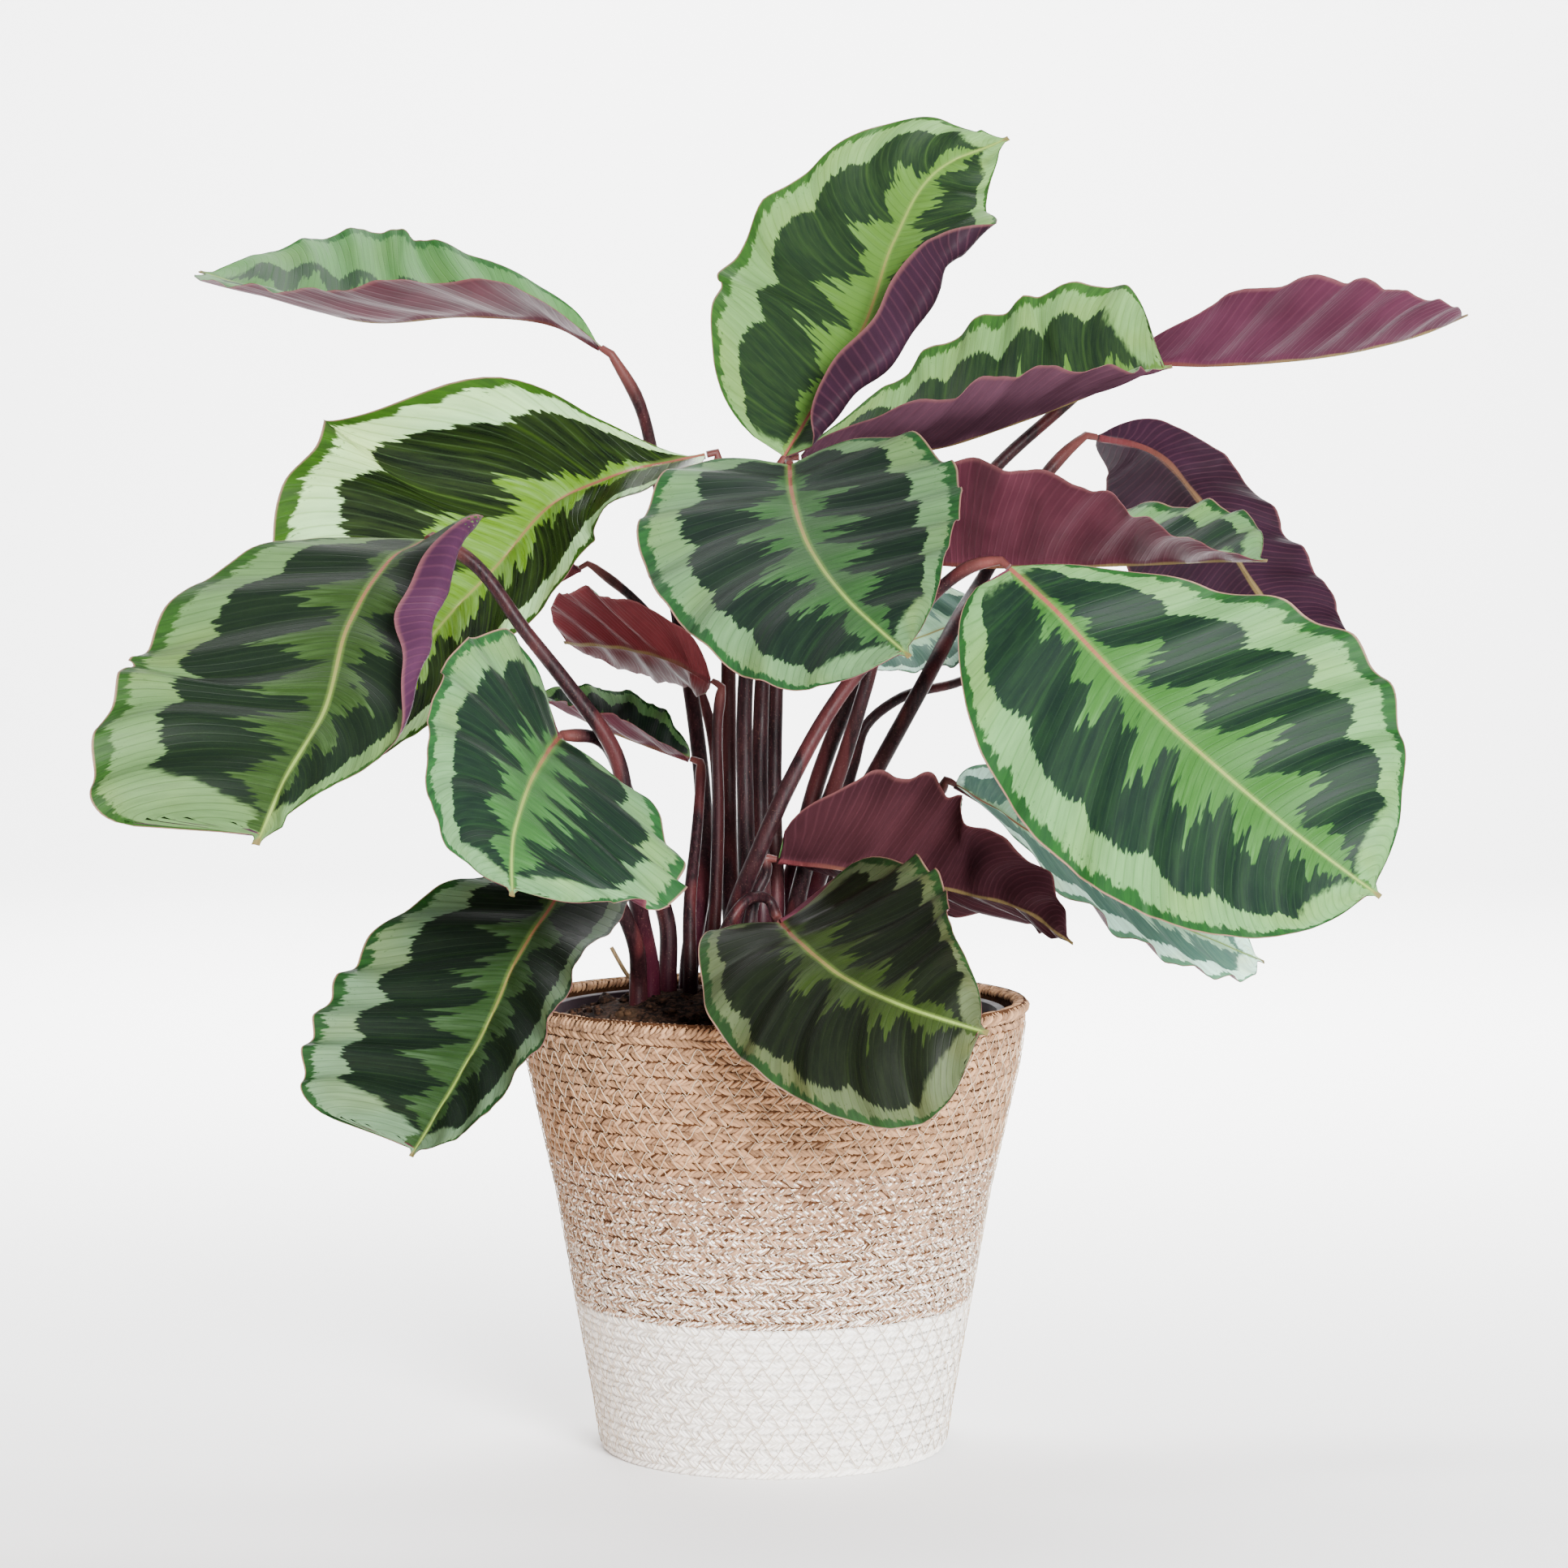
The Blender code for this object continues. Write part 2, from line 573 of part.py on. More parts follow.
def pot_radius(z):
    """Outer radius of the nursery pot at a height."""
    return float(np.interp(z, (POT_FLOOR_Z, POT_TOP_Z), (POT_BOTTOM_RADIUS, POT_TOP_RADIUS)))


def build_pot(collection):
    """The nursery pot, a thin cup with a lip."""
    plastic = make_material("pot_plastic", (0.035, 0.022, 0.024), 0.45)
    floor = POT_FLOOR_Z + POT_FLOOR
    lip_low = POT_TOP_Z - POT_LIP_HEIGHT
    profile = [
        (0, floor),
        (pot_radius(floor) - POT_WALL, floor),
        (POT_TOP_RADIUS - POT_WALL, POT_TOP_Z),
        (POT_LIP_RADIUS, POT_TOP_Z),
        (POT_LIP_RADIUS, lip_low),
        (pot_radius(lip_low), lip_low),
        (POT_BOTTOM_RADIUS, POT_FLOOR_Z),
        (0, POT_FLOOR_Z),
    ]
    add_turned("nursery_pot", profile, False, plastic, collection)


def soil_height(x, y):
    """Height of the soil, raised round the crown and crumbly."""
    distance = math.hypot(x - SOIL_CROWN[0], y - SOIL_CROWN[1])
    mound = SOIL_MOUND * math.exp(-((distance / SOIL_MOUND_REACH) ** 3))
    crumbs = SOIL_CRUMBLE * noise.noise(Vector((x, y, 0)) / SOIL_CRUMB_SIZE)
    return SOIL_EDGE_Z + mound + crumbs


def build_hole_cutter(collection):
    """Round posts that leave one plain hole in the soil for each stalk."""
    feet = [(leaf.foot, leaf.girth * STALK_SHAPE[0][1], FOOT_Z) for leaf in LEAVES]
    feet.append((DRY_STALK_PATH[0][:2], DRY_STALK_RADIUS, DRY_STALK_PATH[0][2]))
    bm = bmesh.new()
    for (x, y), radius, foot in feet:
        low = foot - HOLE_CLEARANCE
        wide = (radius + HOLE_CLEARANCE) / math.cos(math.pi / HOLE_SIDES)
        bmesh.ops.create_cone(
            bm,
            cap_ends=True,
            segments=HOLE_SIDES,
            radius1=wide * MM,
            radius2=wide * MM,
            depth=(HOLE_TOP_Z - low) * MM,
            matrix=Matrix.Translation(Vector((x, y, (HOLE_TOP_Z + low) / 2)) * MM),
        )
    mesh = bpy.data.meshes.new("stalk_holes")
    bm.to_mesh(mesh)
    bm.free()
    cutter = bpy.data.objects.new("stalk_holes", mesh)
    cutter.hide_render = True
    cutter.display_type = "WIRE"
    collection.objects.link(cutter)
    return cutter


def build_soil(collection, cutters):
    """The soil that fills the pot, with a hole for each stalk."""
    earth = make_material("potting_soil", (0.030, 0.019, 0.013), 0.97)
    floor = POT_FLOOR_Z + POT_FLOOR + SEAT_GAP
    inset = POT_WALL + SEAT_GAP
    edge = pot_radius(SOIL_EDGE_Z) - inset
    profile = [(radius, SOIL_EDGE_Z) for radius in (0, *SOIL_RING_RADII, edge)]
    profile += [(pot_radius(floor) - inset, floor), (0, floor)]
    blank = add_turned("soil_blank", profile, False, earth, collection)
    mesh = read_mesh(blank)
    bpy.data.objects.remove(blank)
    for vertex in mesh.vertices:
        x, y, z = vertex.co / MM
        if z > SOIL_EDGE_Z - 1 and math.hypot(x, y) < edge - 1:
            vertex.co.z = soil_height(x, y) * MM
    soil = add_object("soil", mesh, earth, collection)
    cut = soil.modifiers.new("holes", "BOOLEAN")
    cut.operation = "DIFFERENCE"
    cut.object = build_hole_cutter(cutters)


def add_tube(name, path, radii, material, collection):
    """Round stalk along a path, stouter or slimmer by its radii."""
    curve = bpy.data.curves.new(name, "CURVE")
    curve.dimensions = "3D"
    curve.bevel_depth = float(radii[0]) * MM
    curve.bevel_resolution = 1
    curve.use_fill_caps = True
    spline = curve.splines.new("POLY")
    spline.points.add(len(path) - 1)
    for point, place, radius in zip(spline.points, path - path[0], radii):
        point.co = (*(place * MM), 1)
        point.radius = radius / radii[0]
    guide = bpy.data.objects.new(name + "_curve", curve)
    collection.objects.link(guide)
    mesh = read_mesh(guide)
    bpy.data.objects.remove(guide)
    bpy.data.curves.remove(curve)
    shade_round(mesh)
    return add_object(name, mesh, material, collection, path[0] * MM)


def add_blade(leaf, material, collection):
    """Blade of a leaf: a flat grid laid on the leaf's surface, split into triangles and thickened."""
    bm = bmesh.new()
    bmesh.ops.create_grid(bm, x_segments=2 * leaf.columns, y_segments=leaf.rows, size=0.5)
    flat = np.array([vertex.co for vertex in bm.verts])
    tau = flat[:, 1] + 0.5
    s = np.abs(2 * flat[:, 0])
    left = blade_side(leaf, leaf.left, -1, tau, s)
    right = blade_side(leaf, leaf.right, 1, tau, s)
    points = np.where(flat[:, :1] < 0, left, right)
    base = np.asarray(leaf.rib[0], float)
    for vertex, point in zip(bm.verts, points - base):
        vertex.co = point * MM
    bmesh.ops.triangulate(bm, faces=bm.faces, quad_method="FIXED")
    mesh = bpy.data.meshes.new(f"leaf_{leaf.name}_blade")
    bm.to_mesh(mesh)
    bm.free()
    shade_round(mesh, 60)
    blade = add_object(mesh.name, mesh, material, collection, base * MM)
    thicken = blade.modifiers.new("thickness", "SOLIDIFY")
    thicken.thickness = BLADE_THICKNESS * MM
    thicken.offset = 0


def build_plant(collection):
    """Every leaf with its stalk, and the dry stalk."""
    green = make_material("leaf_green", (0.055, 0.140, 0.060), 0.45)
    purple = make_material("stalk_purple", (0.130, 0.040, 0.045), 0.50)
    straw = make_material("dry_stalk_straw", (0.38, 0.27, 0.14), 0.90)
    for leaf in LEAVES:
        add_blade(leaf, green, collection)
        path = stalk_path(leaf)
        add_tube(f"leaf_{leaf.name}_petiole", path, stalk_radii(leaf, path), purple, collection)
    path = smooth_curve(DRY_STALK_PATH[1:], np.linspace(0, 1, 4), start=(0, 0, 1))
    path = np.concatenate([[DRY_STALK_PATH[0]], path])
    add_tube("dry_stalk", path, np.full(len(path), DRY_STALK_RADIUS), straw, collection)


def main():
    """Builds the whole object from an empty scene."""
    for thing in list(bpy.data.objects):
        bpy.data.objects.remove(thing)
    parts = bpy.data.collections.new("potted_calathea")
    cutters = bpy.data.collections.new("cutters")
    for collection in (parts, cutters):
        bpy.context.scene.collection.children.link(collection)
    build_basket(parts)
    build_pot(parts)
    build_soil(parts, cutters)
    build_plant(parts)


if __name__ == "__main__":
    main()
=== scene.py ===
import logging
import math
from dataclasses import dataclass
from enum import Enum

import bpy
import numpy as np
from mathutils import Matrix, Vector, noise


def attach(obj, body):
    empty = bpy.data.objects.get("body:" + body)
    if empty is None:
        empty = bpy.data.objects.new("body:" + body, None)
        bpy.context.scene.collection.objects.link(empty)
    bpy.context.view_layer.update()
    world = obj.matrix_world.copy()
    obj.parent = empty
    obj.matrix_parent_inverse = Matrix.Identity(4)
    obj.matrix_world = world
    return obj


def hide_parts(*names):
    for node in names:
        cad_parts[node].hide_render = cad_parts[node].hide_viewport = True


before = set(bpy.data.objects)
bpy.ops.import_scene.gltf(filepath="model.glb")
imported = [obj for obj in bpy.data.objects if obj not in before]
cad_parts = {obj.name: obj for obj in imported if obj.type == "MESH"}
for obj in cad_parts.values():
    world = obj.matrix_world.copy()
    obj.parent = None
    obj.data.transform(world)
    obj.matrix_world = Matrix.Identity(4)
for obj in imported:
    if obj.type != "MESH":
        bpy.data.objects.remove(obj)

# The looks of a potted calathea: patterned blades, purple stalks, soil, pot and a braided basket.
# Sizes are in millimetres, and MM turns them into metres. The frame's origin is under the basket.

LOG = logging.getLogger("potted_calathea")
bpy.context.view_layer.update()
MM = 0.001
QUARTER_TURN = 1.57
Array = np.ndarray
Colour = tuple[float, float, float]
Socket = bpy.types.NodeSocket
COLOUR, NUMBER, VECTOR = "NodeSocketColor", "NodeSocketFloat", "NodeSocketVector"


def tone(red: int, green: int, blue: int) -> Colour:
    """Linear colour of an 8-bit screen colour."""
    return tuple(((value / 255 + 0.055) / 1.055) ** 2.4 for value in (red, green, blue))


def darker(colour: Colour, share: float) -> Colour:
    """Colour scaled by a share."""
    return tuple(share * value for value in colour)


# Shared geometry


def same(value: object) -> tuple:
    """One value for the base, the middle and the tip of a blade."""
    return (value,) * 3


def along(curve: Array) -> Array:
    """Length along a curve at each of its points."""
    return np.concatenate([[0], np.cumsum(np.linalg.norm(np.diff(curve, axis=0), axis=1))])


def read_at(curve: Array, lengths: Array, place: Array) -> Array:
    """Points of a curve at the given lengths."""
    return np.stack([np.interp(place, lengths, column) for column in curve.T], axis=1)


def unit(rows: Array) -> Array:
    """Rows scaled to length one."""
    return rows / np.maximum(np.linalg.norm(rows, axis=-1, keepdims=True), 1e-9)


def smooth_curve(points: Array, share: Array, start: tuple | None = None) -> Array:
    """Curve through points.

    Args:
        points: Points that the curve passes through.
        share: Places along it, from 0 to 1 by chord length.
        start: Direction at its first point, if that is set.

    Returns:
        One point for each place.
    """
    points = np.asarray(points, float)
    knots = along(points)
    slopes = np.gradient(points, knots, axis=0)
    if start is not None:
        slopes[0] = start
    place = np.asarray(share) * knots[-1]
    i = np.clip(np.searchsorted(knots, place, side="right") - 1, 0, len(points) - 2)
    span = (knots[i + 1] - knots[i])[:, None]
    f = (place - knots[i])[:, None] / span
    near = (2 * f**3 - 3 * f**2 + 1) * points[i] + (f**3 - 2 * f**2 + f) * span * slopes[i]
    far = (3 * f**2 - 2 * f**3) * points[i + 1] + (f**3 - f**2) * span * slopes[i + 1]
    return near + far


def grid_quads(rows: int, columns: int, wrap: bool = False) -> Array:
    """Faces of a grid of points.

    Args:
        rows: Points along it.
        columns: Points across it.
        wrap: Whether the last column joins the first.

    Returns:
        Four point numbers for each face.
    """
    i, j = np.meshgrid(np.arange(rows - 1), np.arange(columns if wrap else columns - 1), indexing="ij")
    k = (j + 1) % columns
    near, far = i * columns, (i + 1) * columns
    return np.stack([near + j, near + k, far + k, far + j], axis=-1).reshape(-1, 4)


def revolve(radii: Array, heights: Array, steps: int) -> Array:
    """Rings of points round Z.

    Args:
        radii: Radius of each ring.
        heights: Height of each ring.
        steps: Points round it.

    Returns:
        The points, by ring and step.
    """
    turn = np.arange(steps) * math.tau / steps
    radii, heights = np.asarray(radii, float)[:, None], np.asarray(heights, float)[:, None]
    return np.stack([radii * np.cos(turn), radii * np.sin(turn), np.repeat(heights, steps, axis=1)], axis=-1)


def turned(profile: list[tuple[float, float]], steps: int) -> tuple[Array, Array]:
    """Closed profile of radius and height turned round Z.

    Args:
        profile: Its points.
        steps: Points round it.

    Returns:
        The points and the faces.
    """
    radii, heights = np.array([*profile, profile[0]]).T
    return revolve(radii, heights, steps).reshape(-1, 3), grid_quads(len(radii), steps, wrap=True)


class Piece:
    """A visible mesh: points in millimetres, faces, values kept on its points, and finishes."""

    def __init__(self, name: str) -> None:
        """Starts an empty piece with a name."""
        self.name = name
        self.points: list[Array] = []
        self.faces: list[Array] = []
        self.slots: list[Array] = []
        self.values: dict[str, list[Array]] = {}
        self.count = 0

    def add(self, points: Array, faces: Array, slot: int = 0, **values: Array) -> None:
        """Adds a patch.

        Args:
            points: Its points.
            faces: Its faces, by its own point numbers.
            slot: Number of its finish.
            **values: A number or a vector on each point.
        """
        self.points.append(points.reshape(-1, 3))
        self.faces.append(faces + self.count)
        self.slots.append(np.full(len(faces), slot))
        self.count += len(self.points[-1])
        for key, value in values.items():
            self.values.setdefault(key, []).append(value)

    def mesh(self) -> bpy.types.Mesh:
        """Mesh of the patches, with their values as attributes.

        Returns:
            The mesh.
        """
        mesh = bpy.data.meshes.new(self.name)
        points = np.concatenate(self.points) * MM
        quads = np.concatenate(self.faces)
        mesh.vertices.add(len(points))
        mesh.vertices.foreach_set("co", points.astype(np.float32).ravel())
        mesh.loops.add(quads.size)
        mesh.loops.foreach_set("vertex_index", quads.astype(np.int32).ravel())
        mesh.polygons.add(len(quads))
        mesh.polygons.foreach_set("loop_start", np.arange(0, quads.size, 4, dtype=np.int32))
        mesh.polygons.foreach_set("material_index", np.concatenate(self.slots).astype(np.int32))
        mesh.update(calc_edges=True)
        for key, rows in self.values.items():
            data = np.concatenate([np.asarray(row, np.float32) for row in rows])
            kind, field = ("FLOAT_VECTOR", "vector") if data.ndim == 2 else ("FLOAT", "value")
            mesh.attributes.new(key, kind, "POINT").data.foreach_set(field, data.ravel())
        mesh.shade_smooth()
        return mesh

    def make(self, materials: list[bpy.types.Material], node: str, slot: str, sharp: float = 50) -> None:
        """Makes the object, which rides on the root body and replaces a solid.

        Args:
            materials: Finishes in slot order.
            node: The solid's node.
            slot: Its material slot; not used.
            sharp: Edges over this angle, in degrees, stay sharp.
        """
        mesh = self.mesh()
        mesh.set_sharp_from_angle(angle=math.radians(sharp))
        for material in materials:
            mesh.materials.append(material)
        thing = bpy.data.objects.new(self.name, mesh)
        bpy.context.scene.collection.objects.link(thing)
        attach(thing, "root")
        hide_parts(node)
        LOG.info("%s: %d faces", self.name, len(mesh.polygons))


TUBE_SIDE = (0.31, 0.87, 0.38)  # no path starts along this direction


def tube(path: Array, radii: Array, sides: int) -> tuple[Array, Array, Array]:
    """Closed round tube along a path.

    Args:
        path: Points of its centre line.
        radii: Radius at each point.
        sides: Points round it.

    Returns:
        Its points, its faces and the share of its length at each point.
    """
    forward = unit(np.gradient(path, axis=0))
    side = np.zeros_like(path)
    side[0] = unit(np.cross(forward[0], TUBE_SIDE))
    for i in range(1, len(path)):
        side[i] = unit(side[i - 1] - side[i - 1] @ forward[i] * forward[i])
    other = np.cross(forward, side)
    turn = np.arange(sides) * math.tau / sides
    ring = np.cos(turn)[None, :, None] * side[:, None] + np.sin(turn)[None, :, None] * other[:, None]
    points = path[:, None] + ring * radii[:, None, None]
    ends = []
    for first, order in ((0, -1), ((len(path) - 1) * sides, 1)):
        for k in range(0, sides - 2, 2):
            corners = (first, first + k + 1, first + k + 2, first + (k + 3) % sides)
            ends.append(corners[::order])
    faces = np.concatenate([grid_quads(len(path), sides, wrap=True), np.array(ends)])
    return points.reshape(-1, 3), faces, np.repeat(along(path) / along(path)[-1], sides)


# Node trees


class Value:
    """A number, vector or colour in a node tree. Arithmetic on a number adds Math nodes."""

    def __init__(self, graph: "Graph", socket: Socket) -> None:
        """Takes the graph and the socket that gives the value."""
        self.graph = graph
        self.socket = socket

    def __add__(self, other: object) -> "Value":
        """Sum with a number or a value."""
        return self.graph.math("ADD", self, other)

    def __sub__(self, other: object) -> "Value":
        """Difference from a number or a value."""
        return self.graph.math("SUBTRACT", self, other)

    def __rsub__(self, other: object) -> "Value":
        """A number less this one."""
        return self.graph.math("SUBTRACT", other, self)

    def __mul__(self, other: object) -> "Value":
        """Product with a number or a value."""
        return self.graph.math("MULTIPLY", self, other)

    def __pow__(self, other: object) -> "Value":
        """Power."""
        return self.graph.math("POWER", self, other)

    def __abs__(self) -> "Value":
        """Size without the sign."""
        return self.graph.math("ABSOLUTE", self)


class Graph:
    """Places and links nodes in one node tree."""

    def __init__(self, tree: bpy.types.NodeTree) -> None:
        """Takes the tree to fill."""
        self.tree = tree

    def put(self, socket: Socket, value: object) -> None:
        """Links a socket to a value, or sets it.

        Args:
            socket: The input.
            value: A Value, or a plain number, colour or vector.
        """
        if isinstance(value, Value):
            self.tree.links.new(value.socket, socket)
        elif isinstance(value, tuple) and len(value) == 3 and socket.type == "RGBA":
            socket.default_value = (*value, 1)
        else:
            socket.default_value = value

    def node(self, kind: str, *values: object, **settings: object) -> bpy.types.Node:
        """Adds a node.

        Args:
            kind: Its type.
            *values: What goes into its first inputs.
            **settings: Its settings.

        Returns:
            The node.
        """
        made = self.tree.nodes.new(kind)
        for key, value in settings.items():
            setattr(made, key, value)
        for socket, value in zip(made.inputs, values):
            self.put(socket, value)
        return made

    def math(self, operation: str, *values: object) -> Value:
        """Result of a Math node on the values."""
        return Value(self, self.node("ShaderNodeMath", *values, operation=operation).outputs[0])

    def ease(self, value: Value, low: object, high: object, start: float = 0, end: float = 1) -> Value:
        """Smooth step.

        Args:
            value: What it depends on.
            low: Value at which it starts.
            high: Value at which it ends.
            start: Result up to low.
            end: Result from high on.

        Returns:
            The result.
        """
        made = self.node("ShaderNodeMapRange", value, low, high, start, end, interpolation_type="SMOOTHSTEP")
        return Value(self, made.outputs[0])

    def mix(self, share: object, first: object, second: object, blend: str = "MIX") -> Value:
        """Mix of two colours.

        Args:
            share: Share of the second.
            first: First colour.
            second: Second colour.
            blend: How they are mixed.

        Returns:
            The mixed colour.
        """
        made = self.node("ShaderNodeMix", share, data_type="RGBA", blend_type=blend)
        self.put(made.inputs[6], first)
        self.put(made.inputs[7], second)
        return Value(self, made.outputs[2])

    def join(self, x: object, y: object, z: object) -> Value:
        """Vector of three numbers."""
        return Value(self, self.node("ShaderNodeCombineXYZ", x, y, z).outputs[0])

    def split(self, vector: Value) -> tuple[Value, ...]:
        """The three numbers of a vector."""
        return tuple(Value(self, socket) for socket in self.node("ShaderNodeSeparateXYZ", vector).outputs)

    def noise(self, vector: Value, scale: float, detail: float = 2, rough: float = 0.5) -> Value:
        """Noise from 0 to 1.

        Args:
            vector: Where it is read.
            scale: Number of cells in one unit of the vector.
            detail: Number of finer layers.
            rough: Weight of each finer layer.

        Returns:
            The noise.
        """
        made = self.node("ShaderNodeTexNoise", vector)
        made.inputs["Scale"].default_value = scale
        made.inputs["Detail"].default_value = detail
        made.inputs["Roughness"].default_value = rough
        return Value(self, made.outputs[0])

    def kept(self, name: str, output: str = "Vector") -> Value:
        """Value kept on the mesh under a name."""
        return Value(self, self.node("ShaderNodeAttribute", attribute_name=name).outputs[output])

    def place(self) -> Value:
        """Position on the object."""
        return Value(self, self.node("ShaderNodeTexCoord").outputs["Object"])


class Finish:
    """A Principled material that is filled through a graph."""

    def __init__(self, name: str, rough: float, **sockets: object) -> None:
        """Starts the material.

        Args:
            name: Name of the material.
            rough: Roughness where nothing is linked.
            **sockets: Values for other sockets, with _ for a space.
        """
        self.material = bpy.data.materials.new(name)
        self.material.use_nodes = True
        self.graph = Graph(self.material.node_tree)
        self.shader = self.material.node_tree.nodes["Principled BSDF"]
        self.put("Roughness", rough)
        for key, value in sockets.items():
            self.put(key.replace("_", " "), value)

    def put(self, socket: str, value: object) -> None:
        """Sets or links a socket of the shader."""
        self.graph.put(self.shader.inputs[socket], value)

    def relief(self, height: Value, depth: float, strength: float = 1) -> None:
        """Links a bump.

        Args:
            height: Height from 0 to 1.
            depth: What a height of 1 stands for, in millimetres.
            strength: Share of it that shows.
        """
        bump = self.graph.node("ShaderNodeBump")
        for key, value in (("Strength", strength), ("Distance", depth * MM), ("Height", height)):
            self.graph.put(bump.inputs[key], value)
        self.put("Normal", Value(self.graph, bump.outputs[0]))


def new_group(name: str, inputs: dict[str, object], outputs: dict[str, str]) -> tuple[Graph, dict, dict]:
    """Starts a shader node group.

    Args:
        name: Name of the group.
        inputs: Default value of each input; its type follows from it, and None makes a vector.
        outputs: Socket type of each output.

    Returns:
        The group's graph, its input values and its output sockets, by name.
    """
    tree = bpy.data.node_groups.new(name, "ShaderNodeTree")
    for key, value in inputs.items():
        kind = VECTOR if value is None else COLOUR if isinstance(value, tuple) else NUMBER
        socket = tree.interface.new_socket(name=key, in_out="INPUT", socket_type=kind)
        if value is not None:
            socket.default_value = (*value, 1) if kind == COLOUR else value
    for key, kind in outputs.items():
        tree.interface.new_socket(name=key, in_out="OUTPUT", socket_type=kind)
    graph = Graph(tree)
    entry, leave = graph.node("NodeGroupInput"), graph.node("NodeGroupOutput")
    given = {key: Value(graph, entry.outputs[key]) for key in inputs}
    return graph, given, {key: leave.inputs[key] for key in outputs}


def use_group(graph: Graph, name: str, **values: object) -> dict[str, Value]:
    """Places a node group.

    Args:
        graph: Where it goes.
        name: Name of the group.
        **values: What goes into each input, with _ for a space.

    Returns:
        Its outputs by name.
    """
    made = graph.node("ShaderNodeGroup", node_tree=bpy.data.node_groups[name])
    for key, value in values.items():
        graph.put(made.inputs[key.replace("_", " ")], value)
    return {socket.name: Value(graph, socket) for socket in made.outputs}


# Finishes of the blades


class VeinLines:
    """Group of fine side veins as a line mask, and of streaks between them.

    A blade keeps leaf_place on its points: the place of the side vein along the midrib, the signed
    share of the way to the margin, and a number of its own. rib_distance is in millimetres.
    """

    COUNT = 58.0
    WANDER = 1.6
    STREAKS = (95.0, 3.0)  # cells along the midrib and across it

    def build(self) -> None:
        """Builds the group."""
        inputs = {"Place": None, "Count": self.COUNT, "Line Width": 0.12}
        graph, given, out = new_group("vein_lines", inputs, {"Line": NUMBER, "Streak": NUMBER})
        along_rib, across, seed = graph.split(given["Place"])
        wander = graph.noise(graph.join(along_rib * 9.0, across, seed), 1.0, 1)
        turns = along_rib * given["Count"] + wander * self.WANDER
        off = abs(graph.math("FRACT", turns) - 0.5)
        graph.put(out["Line"], graph.ease(off, given["Line Width"], 0.0))
        cells = graph.join(along_rib * self.STREAKS[0], across * self.STREAKS[1], seed)
        graph.put(out["Streak"], graph.noise(cells, 1.0, 3, 0.6))


